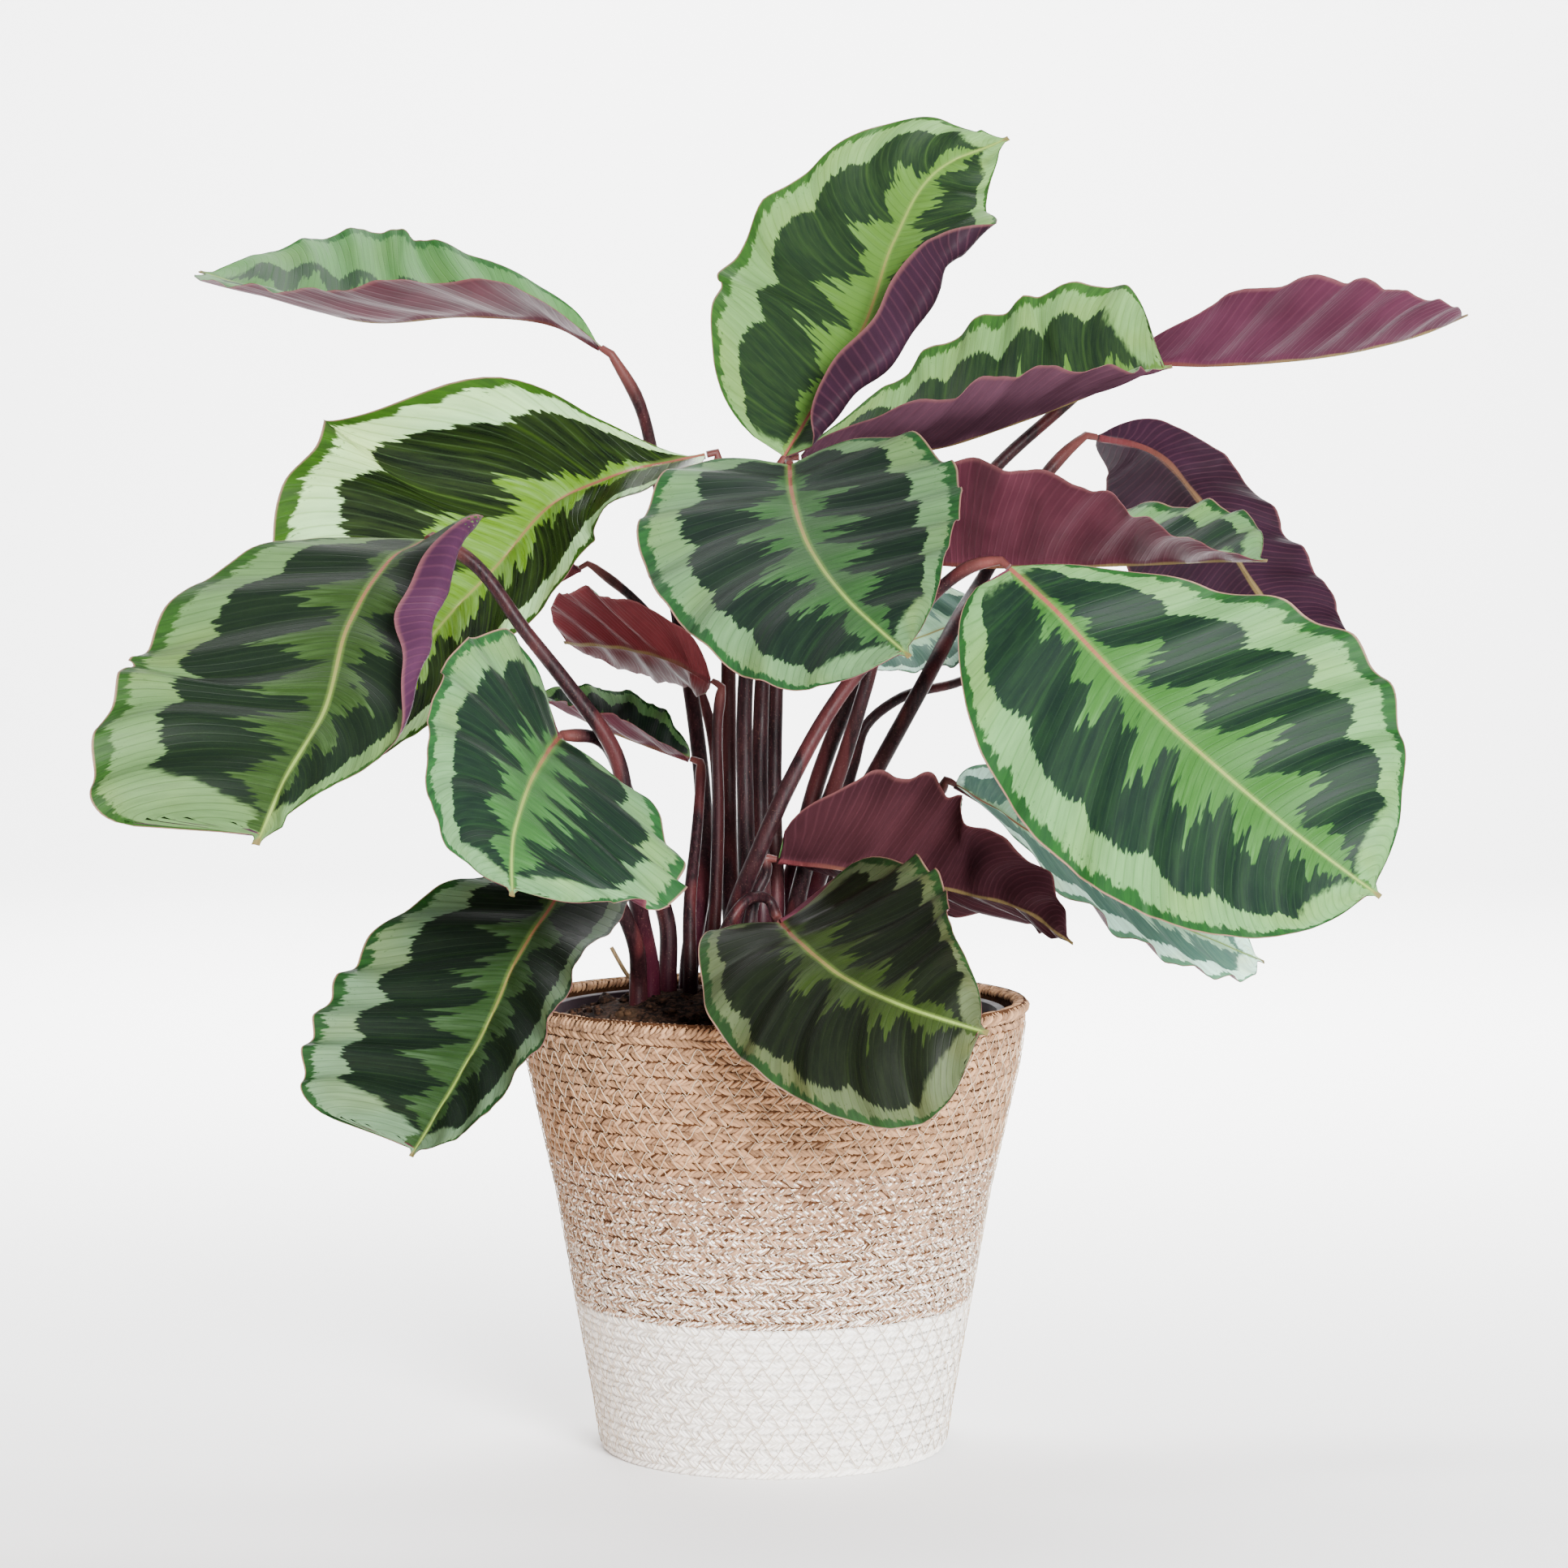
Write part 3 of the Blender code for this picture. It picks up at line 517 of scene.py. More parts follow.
class UpperMarking:
    """Group of the upper face: lobed dark zone, feathered heart, pale zone, green margin and midrib.

    Shares of the way to the margin are named s. Each noise lies in cells along the side veins.
    """

    INPUTS = {"Place": None, "Rib Distance": 0.0, "Pale": (0.4, 0.6, 0.4), "Dark": (0.03, 0.05, 0.04),
              "Heart": (0.1, 0.25, 0.1), "Margin": (0.05, 0.2, 0.06), "Dark Edge": 0.66, "Heart Reach": 0.3,
              "Margin Width": 0.075}
    LOBES = 7.0
    LOBE_DEPTH = 0.085
    LOBE_POWER = 3.2
    EDGE_INSET = 0.045
    EDGE_SOFTNESS = 0.008
    TIP_END = (0.955, 0.935)
    BASE_END = (0.012, 0.03)
    FINGER_POWER = 1.7
    FINGER_LENGTH = 1.15
    HEART_RISE = (0.02, 0.42, 0.30, 1.0)
    HEART_FALL = (0.60, 0.98, 1.0, 0.45)
    HEART_CORE = 0.06
    MARGIN_SOFTNESS = 0.012
    FLECK_ZONE = 0.10
    EDGE_LINE = (0.985, 0.997)
    RIB_HALF_WIDTH = 1.25
    RIB_TAPER = -0.75
    DRY_TIP = (0.975, 0.99)
    SIDE_SHIFT = 7.3  # sets the noise of the two sides apart
    WARM_TINT = (1.10, 0.98, 0.80)

    def build(self) -> None:
        """Builds the group."""
        outputs = {"Colour": COLOUR, "Roughness": NUMBER, "Height": NUMBER}
        self.graph, self.given, out = new_group("upper_marking", self.INPUTS, outputs)
        graph = self.graph
        self.along_rib, across, seed = graph.split(self.given["Place"])
        self.s = abs(across)
        lobe = graph.math("FRACT", self.along_rib * self.LOBES + 0.5)
        self.swing = abs(lobe * 2.0 - 1.0)
        self.side = graph.math("SIGN", across) * self.SIDE_SHIFT + seed
        self.slow = self.ragged(7.0, 1.5, 1)
        lines = use_group(graph, "vein_lines", Place=self.given["Place"])
        self.line, self.streak = lines["Line"], lines["Streak"]
        face = graph.mix(self.dark_zone(), self.pale_colour(), self.dark_colour())
        face = graph.mix(self.heart_zone(), face, self.heart_colour())
        graph.put(out["Colour"], self.with_midrib(self.with_margin(face)))
        graph.put(out["Roughness"], graph.ease(self.streak, 0.2, 0.8, -0.05, 0.07))
        graph.put(out["Height"], self.line * -0.55 + self.streak * 0.35 + 0.6)

    def ragged(self, fine: float, long: float, detail: float = 3) -> Value:
        """Noise from -0.5 to 0.5.

        Args:
            fine: Cells along the midrib.
            long: Cells across it.
            detail: Number of finer layers.

        Returns:
            The noise.
        """
        cells = self.graph.join(self.along_rib * fine, self.s * long, self.side)
        return self.graph.noise(cells, 1.0, detail, 0.62) - 0.5

    def dark_zone(self) -> Value:
        """Mask of the dark zone, which ends in lobes short of the margin, the tip and the base.

        Returns:
            The mask, 1 inside.
        """
        graph, along_rib = self.graph, self.along_rib
        edge = (1.0 - self.swing**self.LOBE_POWER) * self.LOBE_DEPTH + self.given["Dark Edge"]
        edge = edge + self.ragged(150.0, 6.0, 4) * 0.17 + self.slow * 0.16 - self.EDGE_INSET
        drift = self.s * 0.16 + along_rib
        tip_end = graph.ease(self.ragged(80.0, 6.0) * 0.05 + drift, *self.TIP_END)
        base_end = graph.ease(self.ragged(80.0, 6.0) * 0.03 + along_rib, *self.BASE_END)
        return graph.ease(edge - self.s, -self.EDGE_SOFTNESS, self.EDGE_SOFTNESS) * tip_end * base_end

    def heart_zone(self) -> Value:
        """Mask of the heart, which runs out in fingers along the side veins.

        Returns:
            The mask, 1 inside.
        """
        graph = self.graph
        hand = 1.0 - self.swing**self.FINGER_POWER
        rise = graph.ease(self.along_rib, *self.HEART_RISE)
        fall = graph.ease(self.along_rib, *self.HEART_FALL)
        fingers = self.ragged(46.0, 2.2, 2) * hand * self.FINGER_LENGTH
        reach = (hand * self.given["Heart Reach"] + self.HEART_CORE + fingers) * (rise * fall)
        return graph.ease(reach + self.ragged(150.0, 4.0, 3) * 0.26 - self.s, -0.012, 0.02)

    def pale_colour(self) -> Value:
        """Colour of the pale zone, with its veins and warmer parts.

        Returns:
            The colour.
        """
        graph, given = self.graph, self.given
        light = graph.ease(self.streak, 0.25, 0.75, 0.84, 1.12)
        pale = graph.mix(1.0, given["Pale"], graph.join(light, light, light), "MULTIPLY")
        pale = graph.mix(self.line * 0.34, pale, given["Heart"])
        warm = graph.mix(1.0, pale, self.WARM_TINT, "MULTIPLY")
        return graph.mix(graph.ease(self.slow, -0.1, 0.25), pale, warm)

    def heart_colour(self) -> Value:
        """Colour of the heart, paler in streaks and away from the midrib.

        Returns:
            The colour.
        """
        graph, given = self.graph, self.given
        light = graph.mix(graph.ease(self.s, 0.05, 0.6, 0.2, 0.9), given["Heart"], given["Pale"])
        inside = graph.mix(graph.ease(self.streak, 0.35, 0.75, 0.0, 0.75), given["Heart"], light)
        return graph.mix(self.line * 0.22, inside, given["Dark"])

    def dark_colour(self) -> Value:
        """Colour of the dark zone, lighter in streaks and in the crease between two lobes.

        Returns:
            The colour.
        """
        graph, given = self.graph, self.given
        shade = graph.mix(graph.ease(self.streak, 0.3, 0.8, 0.0, 0.16), given["Dark"], given["Heart"])
        shade = graph.mix(self.line * 0.03, shade, given["Pale"])
        return graph.mix(graph.ease(self.swing, 0.93, 1.0) * 0.18, shade, given["Heart"])

    def with_margin(self, face: Value) -> Value:
        """Adds the margin.

        Args:
            face: Colour without it.

        Returns:
            Colour with the green margin, the flecks beside it and its fine brown edge.
        """
        graph, given, s = self.graph, self.given, self.s
        band = s + self.ragged(75.0, 5.0, 4) * 0.22 - self.slow * 0.06
        inner = 1.0 - given["Margin Width"]
        margin = graph.ease(band, inner - self.MARGIN_SOFTNESS, inner + self.MARGIN_SOFTNESS)
        near = graph.ease(s, inner - self.FLECK_ZONE, inner)
        flecks = graph.ease(self.ragged(150.0, 26.0, 2), 0.13, 0.17) * near
        margin = graph.math("MAXIMUM", margin, flecks * 0.8)
        green = graph.mix(graph.ease(self.streak, 0.3, 0.7, 0.0, 0.5), given["Margin"], given["Dark"])
        return graph.mix(graph.ease(s, *self.EDGE_LINE), graph.mix(margin, face, green), tone(112, 86, 74))

    def with_midrib(self, face: Value) -> Value:
        """Adds the midrib.

        Args:
            face: Colour without it.

        Returns:
            Colour with the midrib, which thins towards the tip, and the dry tip.
        """
        graph, distance = self.graph, self.given["Rib Distance"]
        rib_colour = graph.mix(graph.ease(self.along_rib, 0.1, 0.8), tone(110, 64, 52), tone(104, 124, 58))
        half = self.along_rib * self.RIB_TAPER + self.RIB_HALF_WIDTH
        face = graph.mix(graph.ease(distance, half * 2.6, half, 0.0, 0.35), face, tone(96, 118, 56))
        face = graph.mix(graph.ease(distance, half, half * 0.55), face, rib_colour)
        return graph.mix(graph.ease(self.along_rib, *self.DRY_TIP), face, tone(92, 84, 50))


@dataclass(frozen=True)
class UpperFinish:
    """Finish of a blade's upper face, by the colours of its marking."""

    pale: Colour
    dark: Colour
    heart: Colour
    margin: Colour
    gloss: float = 0.46
    dark_edge: float = 0.70
    heart_reach: float = 0.3
    shine: float = 0.06

    def material(self, name: str) -> bpy.types.Material:
        """Makes the finish.

        Args:
            name: Name of the tone.

        Returns:
            The material.
        """
        finish = Finish(f"blade_upper_{name.lower()}", self.gloss, Subsurface_Weight=0.06,
                        Specular_IOR_Level=self.shine, Subsurface_Radius=(0.002, 0.003, 0.001),
                        Subsurface_Scale=0.5)
        graph = finish.graph
        marking = use_group(
            graph, "upper_marking", Place=graph.kept("leaf_place"),
            Rib_Distance=graph.kept("rib_distance", "Fac"), Pale=self.pale, Dark=self.dark,
            Heart=self.heart, Margin=self.margin, Dark_Edge=self.dark_edge,
            Heart_Reach=self.heart_reach)
        finish.put("Base Color", marking["Colour"])
        finish.put("Roughness", marking["Roughness"] + self.gloss)
        finish.relief(graph.noise(graph.place(), 1400, 2, 0.6) * 0.35 + marking["Height"], 0.14, 0.8)
        return finish.material


@dataclass(frozen=True)
class UnderFinish:
    """Finish of a blade's purple under face."""

    deep: Colour
    light: Colour
    shine: float = 0.03

    def material(self, name: str) -> bpy.types.Material:
        """Makes the finish.

        Args:
            name: Name of the tone.

        Returns:
            The material.
        """
        finish = Finish(f"blade_under_{name.lower()}", 0.5, Specular_IOR_Level=self.shine)
        graph = finish.graph
        place = graph.kept("leaf_place")
        lines = use_group(graph, "vein_lines", Place=place, Line_Width=0.2)
        line, streak = lines["Line"], lines["Streak"]
        along_rib, across, _ = graph.split(place)
        base = graph.mix(graph.ease(graph.noise(graph.place(), 22, 2), 0.3, 0.7), self.deep, self.light)
        base = graph.mix(graph.ease(streak, 0.25, 0.8, 0.0, 0.3), base, darker(self.deep, 0.6))
        base = graph.mix(line * 0.08, base, tone(110, 66, 76))
        base = graph.mix(graph.ease(abs(across), 0.95, 1.0, 0.0, 0.45), base, tone(112, 72, 70))
        rib = graph.ease(graph.kept("rib_distance", "Fac"), 1.9, 0.9)
        rib_colour = graph.mix(graph.ease(along_rib, 0.0, 0.6), tone(70, 30, 34), tone(92, 78, 50))
        finish.put("Base Color", graph.mix(rib, base, rib_colour))
        finish.put("Roughness", graph.ease(streak, 0.2, 0.8, 0.4, 0.52))
        finish.relief(line + streak * 0.5, 0.12, 0.8)
        return finish.material


class LeafTone(Enum):
    """The tones of the upper faces: the leaves' own colours, each copy made lighter or darker to paint the
    light and shade on its leaf.
    """

    COOL = UpperFinish(tone(78, 115, 69), tone(13, 26, 20), tone(40, 76, 30), tone(24, 60, 24))
    FRESH = UpperFinish(tone(78, 111, 73), tone(14, 25, 20), tone(40, 74, 35), tone(30, 68, 33))
    CALM = UpperFinish(tone(73, 102, 67), tone(13, 22, 18), tone(34, 62, 30), tone(28, 62, 30), shine=0.04)
    WARM = UpperFinish(tone(88, 121, 70), tone(19, 32, 21), tone(64, 94, 36), tone(40, 72, 27))
    OLIVE = UpperFinish(tone(140, 178, 124), tone(8, 17, 6), tone(68, 100, 18), tone(40, 70, 17), 0.3,
                        shine=0.12)
    DEEP = UpperFinish(tone(75, 99, 74), tone(10, 19, 13), tone(29, 49, 22), tone(22, 52, 22), 0.4)
    DUSKY = UpperFinish(tone(60, 69, 46), tone(12, 16, 10), tone(32, 45, 15), tone(27, 50, 23), 0.44,
                        dark_edge=0.8, heart_reach=0.24)
    SAGE = UpperFinish(tone(72, 98, 59), tone(12, 22, 14), tone(31, 49, 19), tone(34, 62, 22))
    PALE = UpperFinish(tone(64, 106, 56), tone(17, 42, 20), tone(54, 94, 42), tone(34, 78, 32),
                       dark_edge=0.46)
    # The palest copy below is light painted over the faces of leaves at the back.
    HAZY = UpperFinish(tone(185, 230, 210), tone(64, 95, 84), tone(128, 170, 134), tone(84, 128, 98), 0.6)


class UnderTone(Enum):
    """Darker and lighter purple of the under faces: the leaves' own purple in copies made darker or lighter
    to paint the shade and light on each leaf.
    """

    PLUM = UnderFinish(tone(54, 24, 33), tone(72, 36, 46))
    DIM = UnderFinish(tone(41, 20, 25), tone(55, 29, 34))
    # The next two copies are the purple darkened as painted shade, for under faces turned away from the
    # light.
    SHADED = UnderFinish(tone(54, 33, 43), tone(73, 47, 59), shine=0.0)
    DEEP_SHADE = UnderFinish(tone(26, 13, 21), tone(38, 21, 33))
    ROSE = UnderFinish(tone(51, 21, 34), tone(66, 31, 47))
    VIOLET = UnderFinish(tone(46, 24, 41), tone(62, 35, 54))
    RUSTY = UnderFinish(tone(70, 26, 30), tone(90, 39, 42))


class StalkFinish:
    """Dark purple-brown stalk with fine streaks, brighter at its sheath and its knee."""

    def material(self) -> bpy.types.Material:
        """Makes the finish.

        Returns:
            The material.
        """
        finish = Finish("stalk_streaked_purple", 0.45, Specular_IOR_Level=0.1)
        graph = finish.graph
        share = graph.kept("stalk_share", "Fac")
        x, y, z = graph.split(graph.place())
        streak = graph.noise(graph.join(x, y, z * 0.06), 900, 3, 0.6)
        patch = graph.noise(graph.place(), 35, 2)
        warm = graph.noise(graph.join(x, y, 0.0), 75, 1)
        speck = graph.noise(graph.place(), 1700, 2, 0.6)
        base = graph.mix(graph.ease(streak, 0.35, 0.7), tone(18, 8, 11), tone(38, 18, 22))
        for value, low, high, most, colour in (
            (patch, 0.45, 0.75, 0.5, tone(47, 24, 25)),
            (warm, 0.5, 0.65, 0.55, tone(70, 30, 31)),
            (share, 0.32, 0.08, 0.85, tone(66, 20, 36)),
            (share, 0.90, 0.97, 0.6, tone(92, 50, 46)),
            (speck, 0.62, 0.72, 0.35, tone(112, 84, 68)),
        ):
            base = graph.mix(graph.ease(value, low, high, 0.0, most), base, colour)
        finish.put("Base Color", base)
        finish.put("Roughness", graph.ease(streak, 0.3, 0.7, 0.36, 0.52))
        finish.relief(streak + speck * 0.5, 0.12, 0.8)
        return finish.material


# Leaves


@dataclass(frozen=True)
class Half:
    """One side of a blade, from midrib to margin. Angles are given at its base, middle and tip."""

    width: float
    fold: tuple
    curl: tuple
    peak: float = 1.1
    base_power: float = 0.55
    tip_power: float = 0.0
    lobe: float = 0.0
    tip_lobe: float = 0.0
    crease: tuple = ()


@dataclass(frozen=True)
class Leaf:
    """One leaf: its midrib, the way that its upper face looks, its two sides and its stalk."""

    name: str
    rib: tuple
    facing: tuple
    left: Half
    right: Half
    foot: tuple
    stalk: tuple
    girth: float = 1.0
    ruffle: float = 2.8
    rows: int = 14
    columns: int = 4
    tone: LeafTone = LeafTone.COOL
    under: UnderTone = UnderTone.PLUM


LEAVES = (
    Leaf("top", foot=(-5, 2), ruffle=2, tone=LeafTone.WARM, under=UnderTone.DEEP_SHADE,
         rib=((5, 20, 429), (18, 30, 451), (40, 45, 487), (53, 60, 524), (71, 70, 555), (105, 80, 572)),
         facing=((-0.35, -1, 0.2), (-0.35, -1, 0.2), (-0.2, -1, 0.3)),
         left=Half(72, same(0), (15, 5, 5), peak=0.85, base_power=0.6, tip_power=0.95),
         right=Half(55, (40, 12, 8), (140, 150, 150), base_power=0.3, tip_power=0.8,
                    crease=(0.42, 0.64, 1.1)),
         stalk=((-5, 6, 240), (-6, 10, 275), (-4, 20, 345), (2, 20, 402))),
    Leaf("far_left", foot=(-37, 10), ruffle=1.2, tone=LeafTone.PALE,
         rib=((-77, 60, 478), (-95, 65, 488), (-133, 70, 493), (-183, 80, 491), (-229, 90, 504),
              (-260, 100, 514)),
         facing=same((0, -0.25, 1)),
         left=Half(64, (25, 18, 10), (15, 12, 5), base_power=0.42, lobe=0.04),
         right=Half(68, (25, 22, 12), (15, 12, 5), peak=1.75, base_power=0.6),
         stalk=((-32, 25, 238), (-31, 48, 272), (-35, 68, 310), (-43, 82, 358), (-53, 78, 424),
                (-61, 65, 456))),
    Leaf("upper_left", foot=(-17, 14), ruffle=2.2, tone=LeafTone.OLIVE, under=UnderTone.VIOLET,
         rib=((-30, 40, 430), (-69, 35, 421), (-97, 30, 408), (-119, 20, 383), (-144, 10, 356),
              (-169, 0, 321), (-196, -10, 290)),
         facing=((0, -0.8, 0.8), (0, -1, 0.35), (0, -1, 0.3)),
         left=Half(47, same(30), (20, 20, 10), peak=0.8),
         right=Half(101, (10, 0, 0), (180, 170, 10), peak=0.95, base_power=2, tip_power=0.85,
                    crease=(0.7, 1.2, 1.2)),
         stalk=((-19, 30, 238), (-20, 45, 273), (-20, 50, 332), (-21, 45, 398), (-24, 42, 420))),
    Leaf("left", foot=(-53, -6), ruffle=1.8, tone=LeafTone.SAGE, under=UnderTone.VIOLET,
         rib=((-144, -60, 393), (-157, -90, 384), (-170, -120, 360), (-177, -160, 324),
              (-189, -185, 300), (-198, -200, 276)),
         facing=((-0.1, -0.5, 0.8), (0.05, -0.8, 0.6), (0, -1, 0.3)),
         left=Half(57, (35, 5, 5), (150, 160, 150), peak=0.68, base_power=0.8, tip_power=1, lobe=0.03,
                   crease=(0.8, 0.66, 0.5)),
         right=Half(79, same(0), (10, 5, 5), peak=1.6, base_power=0.4, tip_power=0.1, tip_lobe=0.07),
         stalk=((-57, -20, 232), (-61, -30, 257), (-67, -45, 304), (-86, -50, 332), (-103, -55, 354),
                (-126, -56, 384))),
    Leaf("centre", foot=(-10, -9), tone=LeafTone.CALM,
         rib=((7, 0, 425), (8, -40, 412), (16, -90, 388), (30, -125, 369), (54, -155, 347)),
         facing=((0, -0.4, 0.9), (0, -0.8, 0.6), (0.1, -1, 0.3)),
         left=Half(68, (25, 10, 5), (15, 10, 5), peak=0.95, lobe=0.03),
         right=Half(70, (10, 5, 5), (10, 5, 5), peak=1.15, base_power=0.45, tip_power=0.32, lobe=0.03),
         stalk=((-11, -8, 241), (-12, -5, 276), (-12, 0, 331), (-3, 0, 402))),
    Leaf("right", foot=(-22, -17),
         rib=((99, -50, 381), (113, -60, 368), (144, -75, 335), (183, -90, 299), (215, -100, 272),
              (247, -110, 248)),
         facing=((0.1, -0.9, 0.4), (0.1, -1, 0.3), (0.1, -1, 0.2)),
         left=Half(79, (5, 0, 0), (10, 5, 5), peak=1.5),
         right=Half(78, same(5), (10, 5, 5), peak=1, base_power=0.5, lobe=0.05),
         stalk=((-17, -24, 232), (-6, -34, 261), (6, -35, 288), (38, -30, 339), (57, -35, 357),
                (71, -40, 373), (84, -45, 382))),
    Leaf("tongue", foot=(-46, 4), tone=LeafTone.FRESH,
         rib=((-90, -50, 310), (-93, -90, 305), (-99, -140, 290), (-102, -170, 272), (-101, -185, 255)),
         facing=((0, -0.4, 1), (0, -0.6, 0.8), (0, -1, 0.4)),
         left=Half(74, (-25, -33, -33), same(5), peak=1.3, tip_power=0.3),
         right=Half(61, (70, 52, 32), (20, 10, 5), peak=0.95, base_power=0.45, lobe=0.05),
         stalk=((-46, 4, 226), (-52, 0, 247), (-62, -15, 283), (-75, -35, 309))),
    Leaf("lower_left", foot=(-58, -16), ruffle=2, tone=LeafTone.DEEP,
         rib=((-79, -50, 260), (-92, -70, 241), (-105, -85, 221), (-117, -100, 194), (-131, -115, 169),
              (-146, -125, 144)),
         facing=((-0.3, -0.8, 0.6), (-0.3, -1, 0.3), (-0.3, -1, 0.1)),
         left=Half(64, (18, 38, 40), (10, 15, 10), peak=0.85),
         right=Half(68, same(0), (10, 5, 5), peak=1.5, base_power=0.42, tip_power=0.12, tip_lobe=0.04),
         stalk=((-59, -30, 222), (-64, -36, 236), (-69, -42, 249), (-73, -46, 256))),
    Leaf("lower_right", foot=(-27, -30), girth=0.8, tone=LeafTone.DUSKY,
         rib=((3, -39, 231), (11, -84, 227), (29, -119, 216), (55, -151, 207), (85, -165, 199)),
         facing=((0, -0.7, 0.8), (0.1, -0.9, 0.5), (0.1, -1, 0.2)),
         left=Half(62, (20, 5, 5), (15, 10, 5), peak=0.62, base_power=0.3, tip_power=0.5, lobe=0.11),
         right=Half(57, (10, 0, 0), (10, 5, 5), peak=1.3, base_power=0.5, tip_power=0.2, lobe=0.02),
         stalk=((-22, -38, 223), (-18, -42, 232), (-10, -38, 241), (-2, -31, 240))),
    Leaf("upper_right", foot=(0, 15), ruffle=1.8, tone=LeafTone.WARM, under=UnderTone.SHADED,
         rib=((12, 30, 429), (38, 30, 431), (73, 35, 434), (102, 40, 443), (135, 45, 455),
              (160, 50, 465), (176, 50, 469)),
         facing=((-0.1, -0.25, 1), (-0.2, -0.25, 1), (0, -0.25, 1)),
         left=Half(63, (28, 26, 34), (15, 15, 20), peak=1.5, base_power=0.5, tip_power=0.14),
         right=Half(66, (30, 25, 10), (15, 15, 20), peak=1.1),
         stalk=((1, 22, 238), (0, 30, 274), (1, 35, 329), (4, 35, 398))),
    Leaf("far_right", foot=(-6, 27), ruffle=1.2, under=UnderTone.ROSE,
         rib=((162, 100, 475), (183, 105, 473), (224, 110, 474), (270, 120, 480), (300, 125, 488),
              (319, 130, 496)),
         facing=same((0, 0, 1)),
         left=Half(58, same(10), same(10)),
         right=Half(60, (27, 27, 20), (15, 15, 10), peak=0.9),
         stalk=((8, 40, 244), (21, 45, 291), (35, 38, 326), (52, 45, 355), (68, 68, 384),
                (104, 98, 429), (131, 100, 453), (146, 100, 467))),
    Leaf("mid_right", foot=(6, 3), ruffle=1.8,
         rib=((63, 25, 384), (87, 10, 382), (121, 0, 382), (164, -10, 383), (189, -20, 384),
              (209, -30, 384)),
         facing=same((0, -0.05, 1)),
         left=Half(60, (20, 15, 25), same(10), peak=1.5),
         right=Half(63, (55, 33, 10), (15, 10, 10), peak=0.75),
         stalk=((13, 24, 246), (29, 24, 292), (40, 18, 328), (52, 22, 370))),
    Leaf("back_right", foot=(11, 13), under=UnderTone.DEEP_SHADE,
         rib=((147, 100, 439), (172, 110, 433), (197, 125, 409), (228, 140, 364), (268, 150, 323)),
         facing=((0.2, 0.8, 0.7), (0.2, 1, 0.4), (0.2, 1, 0.2)),
         left=Half(62, (20, 20, 10), same(10), peak=1.2),
         right=Half(41, (78, 60, 40), (15, 15, 10), peak=1.4),
         stalk=((20, 35, 245), (45, 36, 291), (69, 26, 336), (81, 46, 357), (94, 72, 376),
                (121, 88, 420), (135, 94, 435))),
    Leaf("low_back", foot=(14, 28), girth=0.85, tone=LeafTone.HAZY,
         rib=((81, 50, 284), (100, 60, 272), (137, 70, 247), (179, 80, 221), (223, 90, 201)),
         facing=same((0.1, -0.3, 1)),
         left=Half(55, (25, 20, 15), same(10)),
         right=Half(45, (0, -5, -8), same(0), tip_power=0.35),
         stalk=((21, 55, 232), (35, 65, 255), (57, 60, 273), (74, 52, 281))),
    Leaf("low_purple", foot=(-12, -21), girth=0.85, under=UnderTone.DIM,
         rib=((2, -17, 256), (44, -11, 250), (82, -17, 242), (106, -29, 236), (127, -39, 222)),
         facing=same((0, 0.5, 0.85)),
         left=Half(48, (12, 10, 10), same(5), peak=1.4, base_power=0.9),
         right=Half(60, (20, 15, 10), same(10), peak=0.85, lobe=0.04),
         stalk=((-11, -19, 224), (-7, -18, 242), (-3, -17, 251))),
    Leaf("back_red", foot=(-27, 3), girth=0.8, ruffle=1, rows=10, columns=3, under=UnderTone.RUSTY,
         rib=((-27, 10, 332), (-42, 18, 340), (-62, 35, 345), (-93, 60, 347)),
         facing=same((0, 0.63, 0.78)),
         left=Half(40, same(5), same(5), tip_power=0.35),
         right=Half(42, same(5), same(5)),
         stalk=((-25, 10, 239), (-24, 12, 275), (-24, 10, 317))),
    Leaf("rolled", foot=(-36, -6), girth=0.8, ruffle=1, rows=10, columns=3,
         rib=((-37, 30, 297), (-55, 35, 303), (-80, 45, 312), (-107, 50, 325)),
         facing=same((0, -0.3, 1)),
         left=Half(30, (30, 30, 20), (20, 20, 10)),
         right=Half(30, same(4), (15, 15, 20)),
         stalk=((-36, 5, 240), (-34, 15, 260), (-32, 26, 288))),
    Leaf("behind_left", foot=(-28, 22), girth=0.75, ruffle=1, rows=10, columns=3,
         rib=((-87, 70, 380), (-103, 80, 371), (-119, 90, 362), (-132, 100, 351), (-146, 110, 346)),
         facing=same((0, 0.1, 1)),
         left=Half(45, (45, 45, 40), same(15)),
         right=Half(45, same(20), same(5)),
         stalk=((-28, 42, 237), (-25, 70, 271), (-34, 92, 325), (-60, 84, 363))),
    Leaf("striped", foot=(22, 15), girth=0.75, ruffle=1.5, rows=10, columns=3, tone=LeafTone.HAZY,
         rib=((99, 95, 361), (83, 85, 355), (61, 75, 347), (39, 65, 336)),
         facing=same((0, -0.5, 1)),
         left=Half(50, same(10), same(10)),
         right=Half(50, same(10), same(10)),
         stalk=((24, 50, 243), (36, 82, 291), (42, 90, 309), (57, 90, 321), (84, 100, 328),
                (103, 105, 337), (107, 100, 352))),
)


